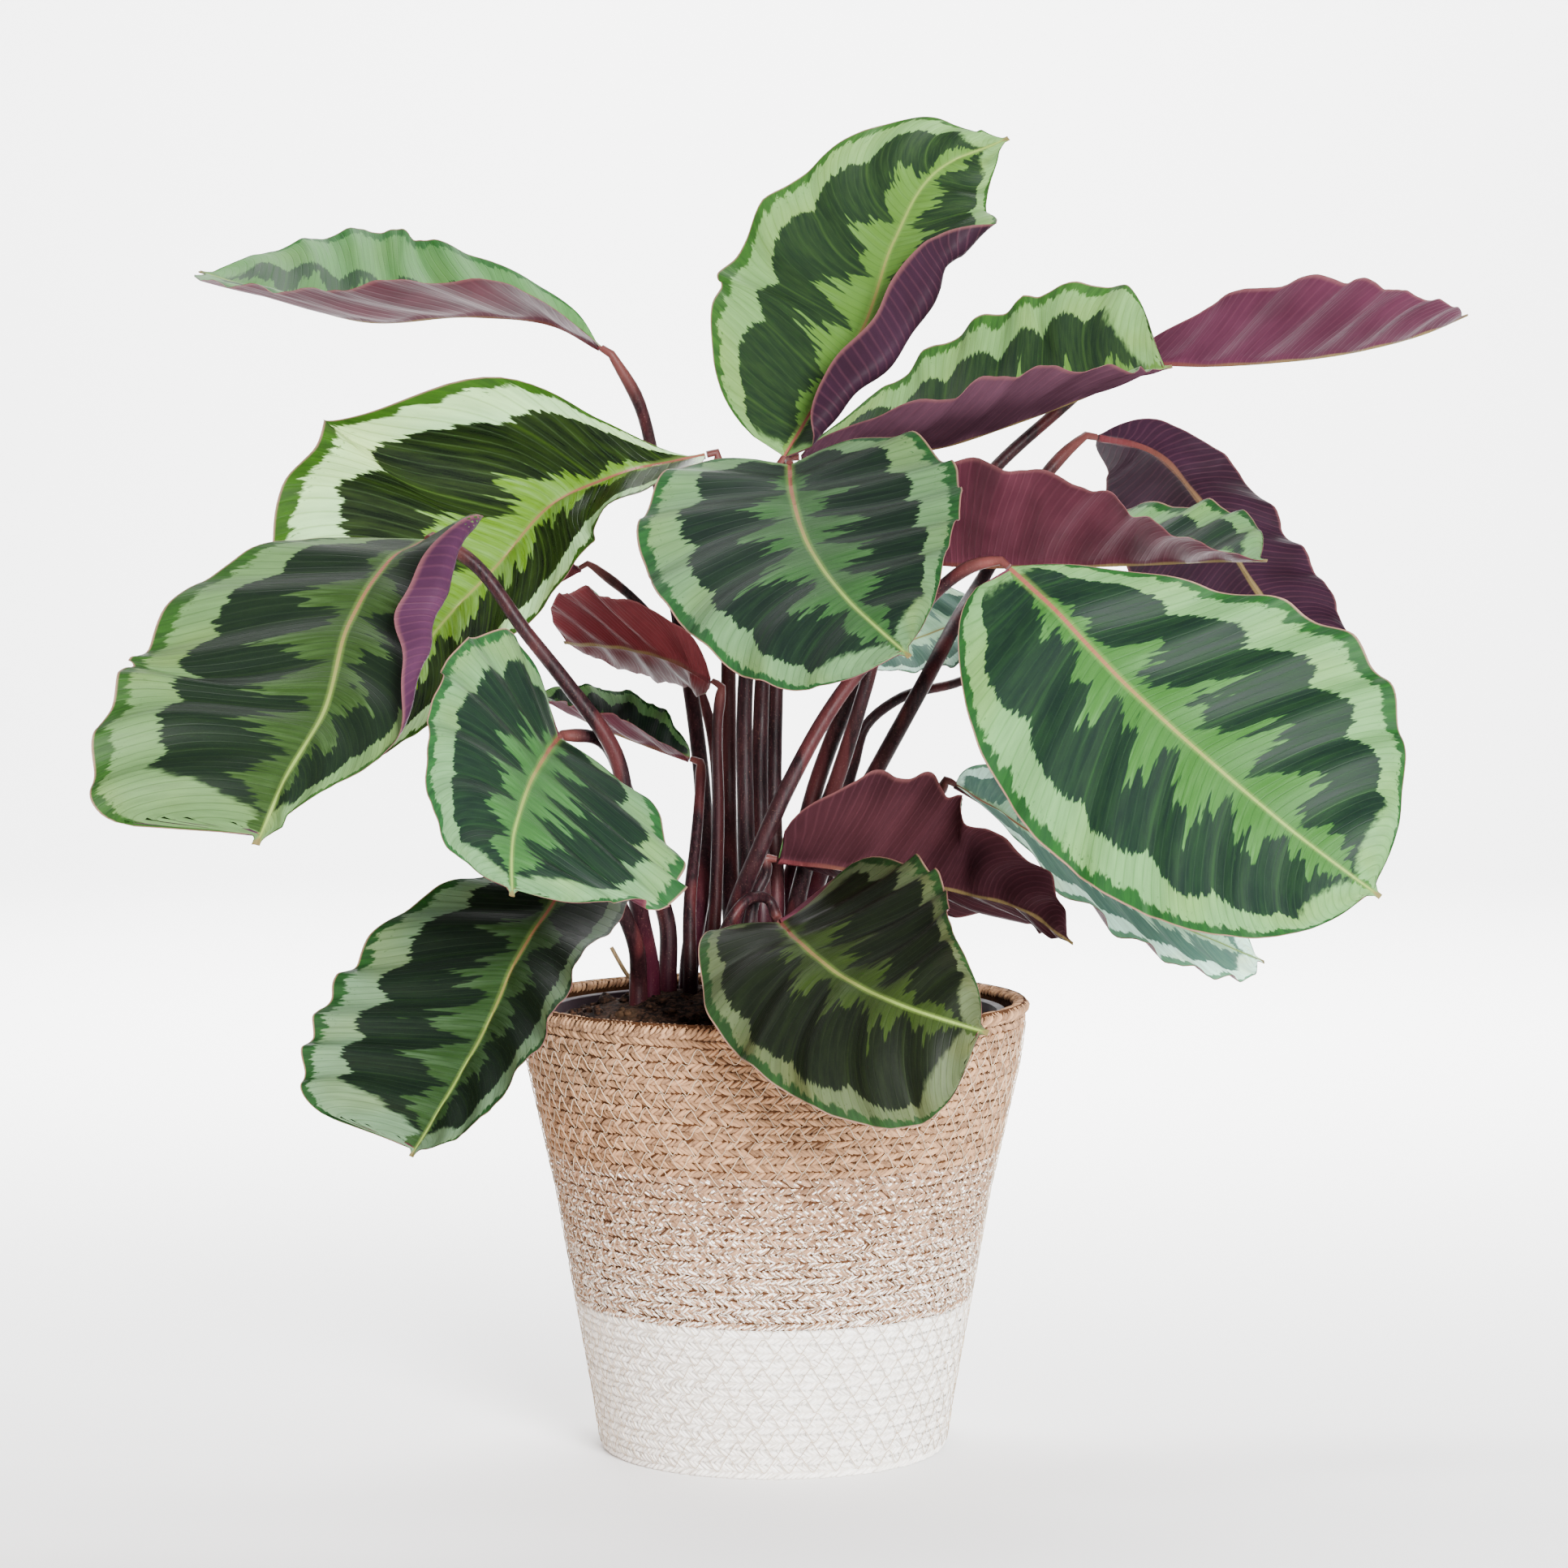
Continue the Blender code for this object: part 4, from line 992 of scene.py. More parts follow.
@dataclass(frozen=True)
class BladeShape:
    """Sizes that every blade shares, as in the solids."""

    rows: int = 108
    columns: int = 25
    small_rows: int = 60
    small_columns: int = 16
    crowding: float = 0.9
    thickness: float = 0.5
    body_end: float = 0.975
    drip_tip_width: float = 0.12
    drip_tip_length: float = 0.05
    vein_sweep: float = 0.75
    vein_bend: float = 1.25
    least_half_width: float = 1.2
    scallop: float = 0.02
    pleat: float = 1.2
    calm_end: float = 0.12
    lobe_reach: float = 0.10
    lobe_gain: float = 2.2
    roll_steps: int = 24
    crease_width: float = 0.3
    crease_calm: float = 0.8
    groove_depth: float = 0.45
    groove_width: float = 1.2
    keel_height: float = 1.7
    keel_width: float = 1.3
    end_power: float = 1.3
    wave_power: float = 2.5
    pleat_power: float = 0.7
    tip_taper: float = 0.75
    edge_thinning: float = 0.6
    pattern_shift: float = 3.7
    ripple: float = 4.95
    ripple_side: float = 0.1
    ripple_turns: tuple = (9.3, 15.7, 24.1)


def eased(x: Array) -> Array:
    """Half straight, half smooth step from 0 to 1."""
    x = np.clip(x, 0, 1)
    return 0.5 * x * x * (3 - 2 * x) + 0.5 * x


def blend(values: tuple, t: Array) -> Array:
    """Value along the midrib.

    Args:
        values: Those at its base, middle and tip.
        t: Shares of its length.

    Returns:
        One value for each share.
    """
    base, middle, tip = (np.asarray(value, float) for value in values)
    if base.ndim:
        t = t[:, None]
    first = base + (middle - base) * eased(2 * t)
    return np.where(t < 0.5, first, middle + (tip - middle) * eased(2 * t - 1))


class Blade:
    """A leaf's blade, finely modelled on the same surface as its solid."""

    SEED = 500

    def __init__(self, leaf: Leaf, shape: BladeShape, number: int) -> None:
        """Reads the midrib.

        Args:
            leaf: The leaf.
            shape: The shared sizes.
            number: The leaf's number, which sets its own ripples and pattern.
        """
        self.leaf = leaf
        self.shape = shape
        self.number = number
        self.rib = smooth_curve(leaf.rib, np.linspace(0, 1, 400))
        self.lengths = along(self.rib)
        self.draw = np.random.default_rng(self.SEED + number)

    def outline(self, half: Half, t: Array) -> Array:
        """Width of a side along the midrib.

        Args:
            half: The side's form.
            t: Shares of the midrib's length.

        Returns:
            Half width over the largest one.
        """
        swell = np.clip(t / self.shape.body_end, 0, 1) ** half.peak
        bulge = np.sin(math.pi * swell).clip(0)
        body = np.where(swell < 0.5, bulge**half.base_power, bulge ** (half.tip_power or half.base_power))
        end = np.clip((1 - t) / self.shape.drip_tip_length, 0, 1) ** self.shape.end_power * (t > 0.5)
        return np.maximum(body, self.shape.drip_tip_width * end)

    def bend_share(self, half: Half, t: Array, share: Array) -> Array:
        """Share of a side's curl, which comes gradually or at a crease.

        Args:
            half: The side's form.
            t: Shares of the midrib's length.
            share: Shares of the side's width.

        Returns:
            Share of the curl that is reached there.
        """
        if not half.crease:
            return share
        step = np.clip((share - blend(half.crease, t)) / self.shape.crease_width + 0.5, 0, 1)
        return step * step * (3 - 2 * step)

    def section(self, half: Half, side: int, tau: Array, t: Array, s: Array) -> tuple[Array, Array, Array]:
        """Section of a side, square to the midrib.

        Args:
            half: The side's form.
            side: 1 for the right side and -1 for the left.
            tau: Places of the side veins along the midrib.
            t: Places of the points along it.
            s: Shares of the way to the margin.

        Returns:
            How far each point is out from the midrib, how far it is up, and its distance on the blade.
        """
        shape = self.shape
        size = self.outline(half, t)
        calm = np.clip(np.minimum(tau, 1 - tau) / shape.calm_end, 0, 1)
        turn = np.sin(math.pi * (self.leaf.rows * tau + 0.5))
        x = s * (np.maximum(half.width * size, shape.least_half_width) * (1 + shape.scallop * calm * turn))
        fold, curl = np.radians(blend(half.fold, t)), np.radians(blend(half.curl, t))
        steps = (np.arange(shape.roll_steps) + 0.5) / shape.roll_steps
        bent = np.stack([self.bend_share(half, t, step * x / half.width) for step in steps], axis=1)
        angle = fold[:, None] + curl[:, None] * bent
        end_bend = self.bend_share(half, t, x / half.width)
        slope = fold + curl * end_bend
        wave = self.leaf.ruffle * size * s**shape.wave_power
        wave = (wave + shape.pleat * np.sin(math.pi * s**shape.pleat_power)) * calm * turn
        wave = wave + self.ripples(side, tau) * calm * s**3 * size
        if half.crease:
            wave = wave * (1 - shape.crease_calm * end_bend)
        out = x * np.cos(angle).mean(axis=1) - np.sin(slope) * wave
        return out, x * np.sin(angle).mean(axis=1) + np.cos(slope) * wave, x

    def side_points(self, half: Half, side: int, tau: Array, s: Array) -> tuple[Array, Array]:
        """Middle surface of one side.

        Args:
            half: The side's form.
            side: 1 for the right side and -1 for the left.
            tau: Places of the side veins along the midrib.
            s: Shares of the way to the margin.

        Returns:
            The points, and their distance from the midrib.
        """
        shape = self.shape
        t = tau + shape.vein_sweep * tau * (1 - tau) * s**shape.vein_bend
        place = t * self.lengths[-1]
        forward = unit(read_at(np.gradient(self.rib, self.lengths, axis=0), self.lengths, place))
        up = blend(self.leaf.facing, t)
        up = unit(up - (up * forward).sum(axis=1)[:, None] * forward)
        out, rise, x = self.section(half, side, tau, t, s)
        swell = self.lengths[-1] * self.outline(half, t) * shape.lobe_gain * s**2
        set_back = half.lobe * swell * np.exp(-t / shape.lobe_reach)
        set_on = half.tip_lobe * swell * np.exp((t - 1) / shape.lobe_reach)
        start, end = unit(np.diff(self.rib, axis=0)[[0, -1]])
        points = read_at(self.rib, self.lengths, place) - set_back[:, None] * start + set_on[:, None] * end
        return points + out[:, None] * (side * np.cross(forward, up)) + rise[:, None] * up, x

    def ripples(self, side: int, tau: Array) -> Array:
        """Small uneven ripples of the margin.

        Args:
            side: 1 for the right side and -1 for the left.
            tau: Places along the midrib.

        Returns:
            Height of the ripples.
        """
        total = np.zeros_like(tau)
        for turns in self.shape.ripple_turns:
            start = self.draw.random() + self.shape.ripple_side * side
            total += np.sin(math.tau * (turns * tau + start)) / turns
        return self.shape.ripple * total

    def sheets(self, points: Array, distance: Array, share: Array, across: Array) -> tuple[Array, ...]:
        """Upper and lower sheet.

        Args:
            points: The middle surface, by row and column.
            distance: Distance of each point from the midrib.
            share: Share of the midrib at each row.
            across: Signed share of the way to the margin at each column.

        Returns:
            Points of the upper sheet and of the lower one, and the direction that is up.
        """
        shape = self.shape
        normal = unit(np.cross(np.gradient(points, axis=1), np.gradient(points, axis=0)))
        if (normal[:, len(across) // 2] * blend(self.leaf.facing, share)).sum() < 0:
            normal = -normal
        taper = (1 - shape.tip_taper * share)[:, None]
        thin = shape.thickness / 2 * (1 - shape.edge_thinning * np.abs(across)[None, :] ** 6)
        above = thin - shape.groove_depth * taper * np.exp(-((distance / shape.groove_width) ** 2))
        below = thin + shape.keel_height * taper * np.exp(-((distance / shape.keel_width) ** 2))
        return points + normal * above[..., None], points - normal * below[..., None], normal

    def make(self, finishes: dict[Enum, bpy.types.Material]) -> None:
        """Makes the blade, which replaces its solid.

        Args:
            finishes: Finish of each upper and under tone.
        """
        shape, leaf = self.shape, self.leaf
        small = leaf.columns < Leaf.columns
        rows = (shape.small_rows if small else shape.rows) + 1
        columns = 2 * (shape.small_columns if small else shape.columns) + 1
        share = np.linspace(0, 1, rows)
        across = np.linspace(-1, 1, columns)
        across = np.sign(across) * np.abs(across) ** shape.crowding
        tau, u = (values.ravel() for values in np.meshgrid(share, across, indexing="ij"))
        left, near_left = self.side_points(leaf.left, -1, tau, np.abs(u))
        right, near_right = self.side_points(leaf.right, 1, tau, np.abs(u))
        points = np.where(u[:, None] < 0, left, right).reshape(rows, columns, 3)
        distance = np.where(u < 0, near_left, near_right)
        upper, lower, normal = self.sheets(points, distance.reshape(rows, columns), share, across)
        faces = grid_quads(rows, columns)
        middle = faces[len(faces) // 2]
        first = upper.reshape(-1, 3)[middle]
        turn = np.cross(first[1] - first[0], first[3] - first[0]) @ normal.reshape(-1, 3)[middle[0]]
        order = 1 if turn > 0 else -1
        place = np.stack([tau, u, np.full_like(u, shape.pattern_shift * self.number)], axis=1)
        piece = Piece(f"blade_{leaf.name}")
        piece.add(upper, faces[:, ::order], 0, leaf_place=place, rib_distance=distance)
        piece.add(lower, faces[:, ::-order], 1, leaf_place=place, rib_distance=distance)
        piece.faces.append(self.rim(rows, columns)[:, ::order])
        piece.slots.append(np.full(len(piece.faces[-1]), 1))
        piece.make([finishes[leaf.tone], finishes[leaf.under]], f"leaf_{leaf.name}_blade", "leaf_green")

    @staticmethod
    def rim(rows: int, columns: int) -> Array:
        """Faces that join the upper and lower sheets round their edge.

        Args:
            rows: Points along a sheet.
            columns: Points across it.

        Returns:
            Four point numbers for each face.
        """
        numbers = np.arange(rows * columns).reshape(rows, columns)
        edge = [numbers[:, 0], numbers[-1, 1:], numbers[-2::-1, -1], numbers[0, -2:0:-1]]
        top = np.concatenate(edge)
        following = np.roll(top, -1)
        return np.stack([top, top + rows * columns, following + rows * columns, following], axis=1)


@dataclass(frozen=True)
class StalkShape:
    """Sizes that every leaf stalk shares, as in the solids. Radii are given at shares of its length."""

    radii: tuple = ((0.0, 4.2), (0.15, 4.3), (0.35, 3.8), (0.6, 3.4), (0.92, 2.7), (1.0, 1.6))
    foot_z: float = 165.0
    foot_top_z: float = 201.0
    end_gap: float = 0.7
    neck: float = 5.0
    rings: int = 64
    sides: int = 14
    knee: float = 0.94
    knee_length: float = 0.035
    knee_swell: float = 0.45


class Stalk:
    """The stalk of a leaf, with its sheath at the foot and the knee under the blade."""

    def __init__(self, leaf: Leaf, shape: StalkShape) -> None:
        """Takes the leaf and the shared sizes."""
        self.leaf = leaf
        self.shape = shape

    def path(self) -> Array:
        """Centre line of the stalk.

        Returns:
            Points from the foot in the soil to the blade.
        """
        shape = self.shape
        rib = smooth_curve(self.leaf.rib, np.linspace(0, 1, 200))
        forward = unit(rib[1] - rib[0])
        end = rib[0] - shape.end_gap * forward
        guide = [(*self.leaf.foot, shape.foot_top_z), *self.leaf.stalk, end - shape.neck * forward]
        curve = smooth_curve(guide, np.linspace(0, 1, 400), start=(0, 0, 1))
        curve = np.concatenate([[(*self.leaf.foot, shape.foot_z)], curve, [end]])
        lengths = along(curve)
        return read_at(curve, lengths, np.linspace(0, lengths[-1], shape.rings))

    def make(self, finish: bpy.types.Material) -> None:
        """Makes the stalk, which replaces its solid.

        Args:
            finish: Its finish.
        """
        shape = self.shape
        path = self.path()
        share = along(path) / along(path)[-1]
        knee = np.exp(-(((share - shape.knee) / shape.knee_length) ** 2))
        radii = self.leaf.girth * np.interp(share, *zip(*shape.radii)) + shape.knee_swell * knee
        points, faces, share = tube(path, radii, shape.sides)
        piece = Piece(f"stalk_{self.leaf.name}")
        piece.add(points, faces, stalk_share=share)
        piece.make([finish], f"leaf_{self.leaf.name}_petiole", "stalk_purple")


# Basket


@dataclass(frozen=True)
class BasketShape:
    """Sizes of the basket, as in the solids, and of its braid. Outer radii are given at heights."""

    outline: tuple = ((0, 75.0), (4, 75.7), (21.5, 78.3), (71.5, 87.2), (112.5, 94.3), (134.5, 99.3),
                      (167.5, 106.7), (195, 110.6))
    height: float = 195.0
    wall: float = 6.0
    foot_radius: float = 69.0
    row: float = 6.5
    band_rows: int = 10
    strand_pitch: float = 2.5
    strand_length: float = 5.4
    strand_width: float = 2.3
    strand_rise: float = 1.15
    length_range: tuple = (0.86, 1.16)
    width_range: tuple = (0.75, 1.15)
    rise_range: tuple = (0.7, 1.2)
    angle_spread: float = 0.0022
    height_spread: float = 0.16
    bend_spread: float = 0.25
    slant_spread: float = 5.0
    crown_power: float = 0.7
    strand_along: int = 5
    strand_across: int = 4
    backing_depth: float = 1.5
    backing_ridge: float = 0.3
    backing_steps: int = 128
    slant: float = 31.0
    rim_drop: float = 2.9
    rim_strand_radius: float = 2.5
    rim_length_range: tuple = (0.9, 1.15)
    rim_width_range: tuple = (0.8, 1.15)
    rim_rise_range: tuple = (-0.15, 0.55)
    rim_angle_spread: float = 0.003
    rim_lean: float = 1.5
    rim_flatness: float = 0.86
    rim_layers: tuple = ((-0.25, 0.30, 1), (0.18, 0.72, -1), (0.62, 1.15, 1))
    thread_radius: float = 0.17
    thread_period: float = 10.2
    thread_reach: float = 3.7
    thread_shift: float = 4.1
    thread_steps: int = 8
    thread_wander: float = 0.2
    thread_corner: float = 0.85

    def radius(self, z: Array) -> Array:
        """Outer radius at a height."""
        return np.interp(z, *zip(*self.outline))

    def strands(self, radius: float) -> int:
        """Number of strands side by side round a circle."""
        return round(math.tau * float(radius) / self.strand_pitch)


@dataclass(frozen=True)
class BandColours:
    """A band of the basket: its node, its slot, its lowest row, its strands, its share of white ones and the
    share of the dark tone left on its backing as painted shade.
    """

    node: str
    slot: str
    first: int
    pale: Colour
    dark: Colour
    white: float = 0.0
    # Share of the dark tone on the backing: painted shade behind the strands.
    shade: float = 0.45


class BandTone(Enum):
    """The three bands."""

    WHITE = BandColours("basket_lower_white", "jute_white", 0, tone(244, 241, 236), tone(228, 221, 211),
                        shade=0.75)
    MIXED = BandColours("basket_middle_mixed", "jute_mixed", 10, tone(170, 134, 104), tone(78, 52, 35),
                        white=0.34)
    NATURAL = BandColours("basket_upper_natural", "jute_natural", 20, tone(178, 138, 102), tone(76, 49, 30))


class Basket:
    """The braided basket: slanted strands in rows on a backing wall, sewn with a thread."""

    SEED = 77

    def __init__(self, shape: BasketShape) -> None:
        """Starts the draws and the grid of a strand.

        Args:
            shape: The sizes.
        """
        self.shape = shape
        self.draw = np.random.default_rng(self.SEED)
        sides = (np.linspace(-1, 1, count) for count in (shape.strand_along, shape.strand_across))
        self.u, self.v = (values.ravel() for values in np.meshgrid(*sides, indexing="ij"))

    def add_patches(self, piece: Piece, radii: Array, angle: Array, z: Array, order: int) -> None:
        """Adds one small patch for each strand.

        Args:
            piece: Where they go.
            radii: Radius of each point, by strand and point.
            angle: Angle of each point.
            z: Height of each point.
            order: 1 or -1, the way that the faces run.
        """
        shape, count = self.shape, len(angle)
        faces = grid_quads(shape.strand_along, shape.strand_across)[:, ::order]
        faces = (faces[None] + np.arange(count)[:, None, None] * self.u.size).reshape(-1, 4)
        picks = np.repeat(self.draw.random(count), self.u.size)
        place = np.stack([np.tile(self.u, count), np.tile(self.v, count), picks], axis=1)
        points = np.stack([radii * np.cos(angle), radii * np.sin(angle), z], axis=-1)
        piece.add(points, faces, 0, strand_place=place)

    def add_strands(self, piece: Piece, rows: range) -> None:
        """Adds the strands of some rows.

        Args:
            piece: Where they go.
            rows: Numbers of the rows; each is two half rows, slanted against each other.
        """
        shape = self.shape
        for row in rows:
            for half, lean in ((0.25, 1), (0.75, -1)):
                z = (row + half) * shape.row
                count = shape.strands(shape.radius(z))
                start = (np.arange(count) + self.draw.random()) / count * math.tau
                start = start + self.draw.normal(0, shape.angle_spread, count)
                self.add_half_row(piece, start, np.full(count, z), lean)

    def add_half_row(self, piece: Piece, angle: Array, z: Array, lean: int) -> None:
        """Adds one half row of strands.

        Args:
            piece: Where they go.
            angle: Angle of each strand.
            z: Height of each strand.
            lean: 1 if they lean up and -1 if they lean down.
        """
        shape, count = self.shape, len(angle)
        length = shape.strand_length * self.draw.uniform(*shape.length_range, count)
        width = shape.strand_width * self.draw.uniform(*shape.width_range, count)
        rise = shape.strand_rise * self.draw.uniform(*shape.rise_range, count)
        slant = np.radians(shape.slant + self.draw.normal(0, shape.slant_spread, count))[:, None] * lean
        bend = self.draw.normal(0, shape.bend_spread, count)
        z = z + self.draw.normal(0, shape.height_spread, count)
        u, v = self.u, self.v
        x = length[:, None] / 2 * u + 0 * v
        y = width[:, None] / 2 * (v * np.sqrt(1 - 0.72 * u**2)) + bend[:, None] * (1 - u**2)
        over = x * np.cos(slant) - y * np.sin(slant)
        up = x * np.sin(slant) + y * np.cos(slant)
        crown = (1 - v**2) ** shape.crown_power * (1 - 0.55 * u**2)
        depth = shape.backing_depth + 0.15 - (shape.backing_depth - 0.35) * crown
        depth = depth - (rise[:, None] - 0.9) * crown * 0.8
        turns = angle[:, None] + over / shape.radius(z)[:, None]
        heights = np.clip(z[:, None] + up, 0.3, shape.height - 0.6)
        self.add_patches(piece, shape.radius(heights) - depth, turns, heights, -1)

    def add_backing(self, piece: Piece, low: float, high: float, floor: bool, rim: bool) -> None:
        """Adds the wall behind the strands.

        Args:
            piece: Where it goes.
            low: Lowest height.
            high: Highest height.
            floor: Whether the basket's floor is part of it.
            rim: Whether the basket's rim is part of it.
        """
        shape, gap = self.shape, 0.02
        ridge = shape.backing_ridge
        outer = [(z, math.cos(math.tau * z / shape.row)) for z in np.arange(high - gap, low, -shape.row / 4)]
        outer.append((low, 1.0))
        profile = [(shape.radius(z) - shape.backing_depth - ridge * wave, z) for z, wave in outer]
        if floor:
            profile += [(shape.foot_radius, 0.0), (0.05, 0.0), (0.05, shape.wall)]
        for z in np.arange(shape.wall if floor else low, high - gap, shape.row / 4):
            swell = 0.7 * abs(math.sin(math.pi * z / shape.row))
            profile.append((shape.radius(z) - shape.wall + 1.0 - swell, z))
        if rim:
            middle = shape.radius(high) - shape.wall / 2
            for k in range(1, 8):
                turn = math.pi * (1 - k / 8)
                profile.append((middle + 2.6 * math.cos(turn), high - shape.rim_drop + 2.5 * math.sin(turn)))
        else:
            profile.append((shape.radius(high) - shape.wall + 0.6, high - gap))
        points, faces = turned(profile, shape.backing_steps)
        piece.add(points, faces, 1, strand_place=np.zeros_like(points))

    def add_rim(self, piece: Piece) -> None:
        """Adds the strands that wrap over the rim to its inner side.

        Args:
            piece: Where they go.
        """
        shape, u, v = self.shape, self.u, self.v
        top = shape.height - shape.rim_drop
        middle = float(shape.radius(top)) - shape.wall / 2
        count = shape.strands(middle)
        for layer, (low, high, lean) in enumerate(shape.rim_layers):
            start = (np.arange(count) + 0.33 * layer) / count * math.tau
            start = start + self.draw.normal(0, shape.rim_angle_spread, count)
            long = self.draw.uniform(*shape.rim_length_range, count)[:, None]
            width = shape.strand_width * self.draw.uniform(*shape.rim_width_range, count)[:, None]
            rise = self.draw.uniform(*shape.rim_rise_range, count)[:, None]
            turn = math.pi * ((low + high) / 2 + (high - low) / 2 * u * long)
            crown = (1 - v**2) ** shape.crown_power * (1 - 0.5 * u**2)
            height = shape.rim_strand_radius + crown * (0.75 + rise)
            over = lean * shape.rim_lean * u + width / 2 * (v * np.sqrt(1 - 0.7 * u**2))
            radius = middle + (height + 0.25) * np.cos(turn)
            z = np.minimum(top + height * np.sin(turn) * shape.rim_flatness, shape.height + 0.1)
            self.add_patches(piece, radius, start[:, None] + over / middle, z, 1)

    def add_thread(self, piece: Piece, rows: range) -> None:
        """Adds the sewing thread that zigzags across the joint under each row.

        Args:
            piece: Where it goes.
            rows: Numbers of the rows.
        """
        shape = self.shape
        for row in rows:
            joint = row * shape.row
            if joint <= 1 or joint >= shape.height - shape.row:
                continue
            count = round(math.tau * float(shape.radius(joint)) / shape.thread_period)
            steps = count * shape.thread_steps
            share = (np.arange(steps) + 0.5) / steps
            phase = share * count - row * shape.thread_shift / shape.thread_period
            swing = 2 * np.abs(2 * (phase % 1) - 1) - 1
            swing = np.sign(swing) * np.abs(swing) ** shape.thread_corner
            z = joint + shape.thread_reach * swing + self.draw.normal(0, shape.thread_wander, steps)
            depth = -0.25 + 0.9 * np.abs(swing) ** 6 + 0.075 * np.cos(math.tau * z / shape.row)
            turn, radius = share * math.tau, shape.radius(z) - depth
            path = np.stack([radius * np.cos(turn), radius * np.sin(turn), z], axis=-1)
            path = np.concatenate([path, path[:1]])
            points, faces, share = tube(path, np.full(len(path), shape.thread_radius), 3)
            place = np.stack([share * count, 0 * share, np.full_like(share, 0.5)], axis=1)
            piece.add(points, faces, 2, strand_place=place)

    def make(self, finishes: "JuteFinishes") -> None:
        """Makes the three bands, which replace their solids.

        Args:
            finishes: Their finishes.
        """
        shape = self.shape
        for kind in BandTone:
            colours = kind.value
            piece = Piece(f"braid_{kind.name.lower()}")
            last = colours.first + shape.band_rows
            rim = kind is BandTone.NATURAL
            high = shape.height if rim else last * shape.row
            self.add_backing(piece, colours.first * shape.row, high, kind is BandTone.WHITE, rim)
            self.add_strands(piece, range(colours.first, last - 1 if rim else last))
            if rim:
                z = (last - 0.72) * shape.row
                count = shape.strands(shape.radius(z))
                start = (np.arange(count) + 0.4) / count * math.tau
                self.add_half_row(piece, start, np.full(count, z), 1)
                self.add_rim(piece)
            self.add_thread(piece, range(colours.first, last))
            materials = [finishes.strand(colours), finishes.backing(colours), finishes.thread()]
            piece.make(materials, colours.node, colours.slot)


class JuteFinishes:
    """Finishes of the strands, of the wall behind them and of the sewing thread."""

    WHITE_RISE = (0.065, 0.130)  # heights in metres over which the white strands grow fewer
    # Colour that the painted shade at the strands' sides and ends leans to.
    CREVICE_SHADE_TINT = (0.07, 0.04, 0.022)

    def build(self) -> None:
        """Builds the group that draws a strand's fibres and its white plies, with painted shade where the
        strand's sides and ends tuck under its neighbours.
        """
        inputs = {"Place": None, "Pale": (0.6, 0.5, 0.4), "Dark": (0.3, 0.2, 0.1), "White Share": 0.0}
        graph, given, out = new_group("jute_fibres", inputs, {"Colour": COLOUR, "Height": NUMBER})
        u, v, pick = graph.split(given["Place"])
        fibre = graph.noise(graph.join(u * 0.9, v * 4.5, pick * 900.0), 1.6, 3, 0.65)
        base = graph.mix(graph.math("FRACT", pick * 37.0), given["Dark"], given["Pale"])
        base = graph.mix(graph.ease(fibre, 0.3, 0.7, 0.0, 0.55), base, given["Pale"])
        base = graph.mix(graph.ease(fibre, 0.45, 0.25, 0.0, 0.5), base, given["Dark"])
        ply = graph.math("FLOOR", v * 1.5) + graph.math("FLOOR", u * 1.5) * 0.63
        white = graph.math("LESS_THAN", graph.math("FRACT", pick * 91.0 + ply * 0.37), given["White Share"])
        tuft = graph.mix(graph.ease(fibre, 0.3, 0.6), tone(212, 202, 190), tone(240, 235, 228))
        base = graph.mix(white, base, tuft)
        # Painted shade: each strand is darkened at its sides and ends, where it tucks under the neighbouring
        # strands.
        crevice_shade = graph.ease(abs(v), 0.45, 1.0, 0.0, 0.85)
        crevice_shade = graph.math("MAXIMUM", crevice_shade, graph.ease(abs(u), 0.6, 1.0, 0.0, 0.4))
        graph.put(out["Colour"], graph.mix(crevice_shade, base, graph.mix(0.5, base, self.CREVICE_SHADE_TINT)))
        graph.put(out["Height"], fibre)

    def strand(self, band: BandColours) -> bpy.types.Material:
        """Finish of a band's strands.

        Args:
            band: The band.

        Returns:
            The material.
        """
        finish = Finish(f"{band.slot}_strands", 0.88, Specular_IOR_Level=0.12, Sheen_Weight=0.05)
        graph, white = finish.graph, band.white
        if white:
            height = graph.split(graph.place())[2]
            white = graph.ease(height, *self.WHITE_RISE, 1.3 * white, 0.35 * white)
        fibres = use_group(graph, "jute_fibres", Place=graph.kept("strand_place"), Pale=band.pale,
                           Dark=band.dark, White_Share=white)
        finish.put("Base Color", fibres["Colour"])
        finish.relief(fibres["Height"], 0.3)
        return finish.material

    def backing(self, band: BandColours) -> bpy.types.Material:
        """Finish of the wall behind the strands, darkened below their dark tone as painted shade.

        Args:
            band: The band.

        Returns:
            The material.
        """
        finish = Finish(f"{band.slot}_backing", 0.95, Specular_IOR_Level=0.05)
        graph = finish.graph
        cells = graph.noise(graph.place(), 700, 3, 0.6)
        # Painted shade: both tones of the backing are darker than the strands' dark tone.
        deep, light = darker(band.dark, band.shade), darker(band.dark, 0.8)
        finish.put("Base Color", graph.mix(graph.ease(cells, 0.3, 0.7), deep, light))
        finish.relief(cells, 0.5)
        return finish.material

    def thread(self) -> bpy.types.Material:
        """Finish of the sewing thread, made once.

        Returns:
            The material.
        """
        made = bpy.data.materials.get("sewing_thread")
        if made:
            return made
        finish = Finish("sewing_thread", 0.7, Specular_IOR_Level=0.2)
        cells = finish.graph.noise(finish.graph.place(), 2600, 2, 0.6)
        finish.put("Base Color", finish.graph.mix(cells, tone(146, 126, 102), tone(186, 169, 146)))
        finish.relief(cells, 0.1, 0.8)
        return finish.material


# Pot, soil and dry stalk


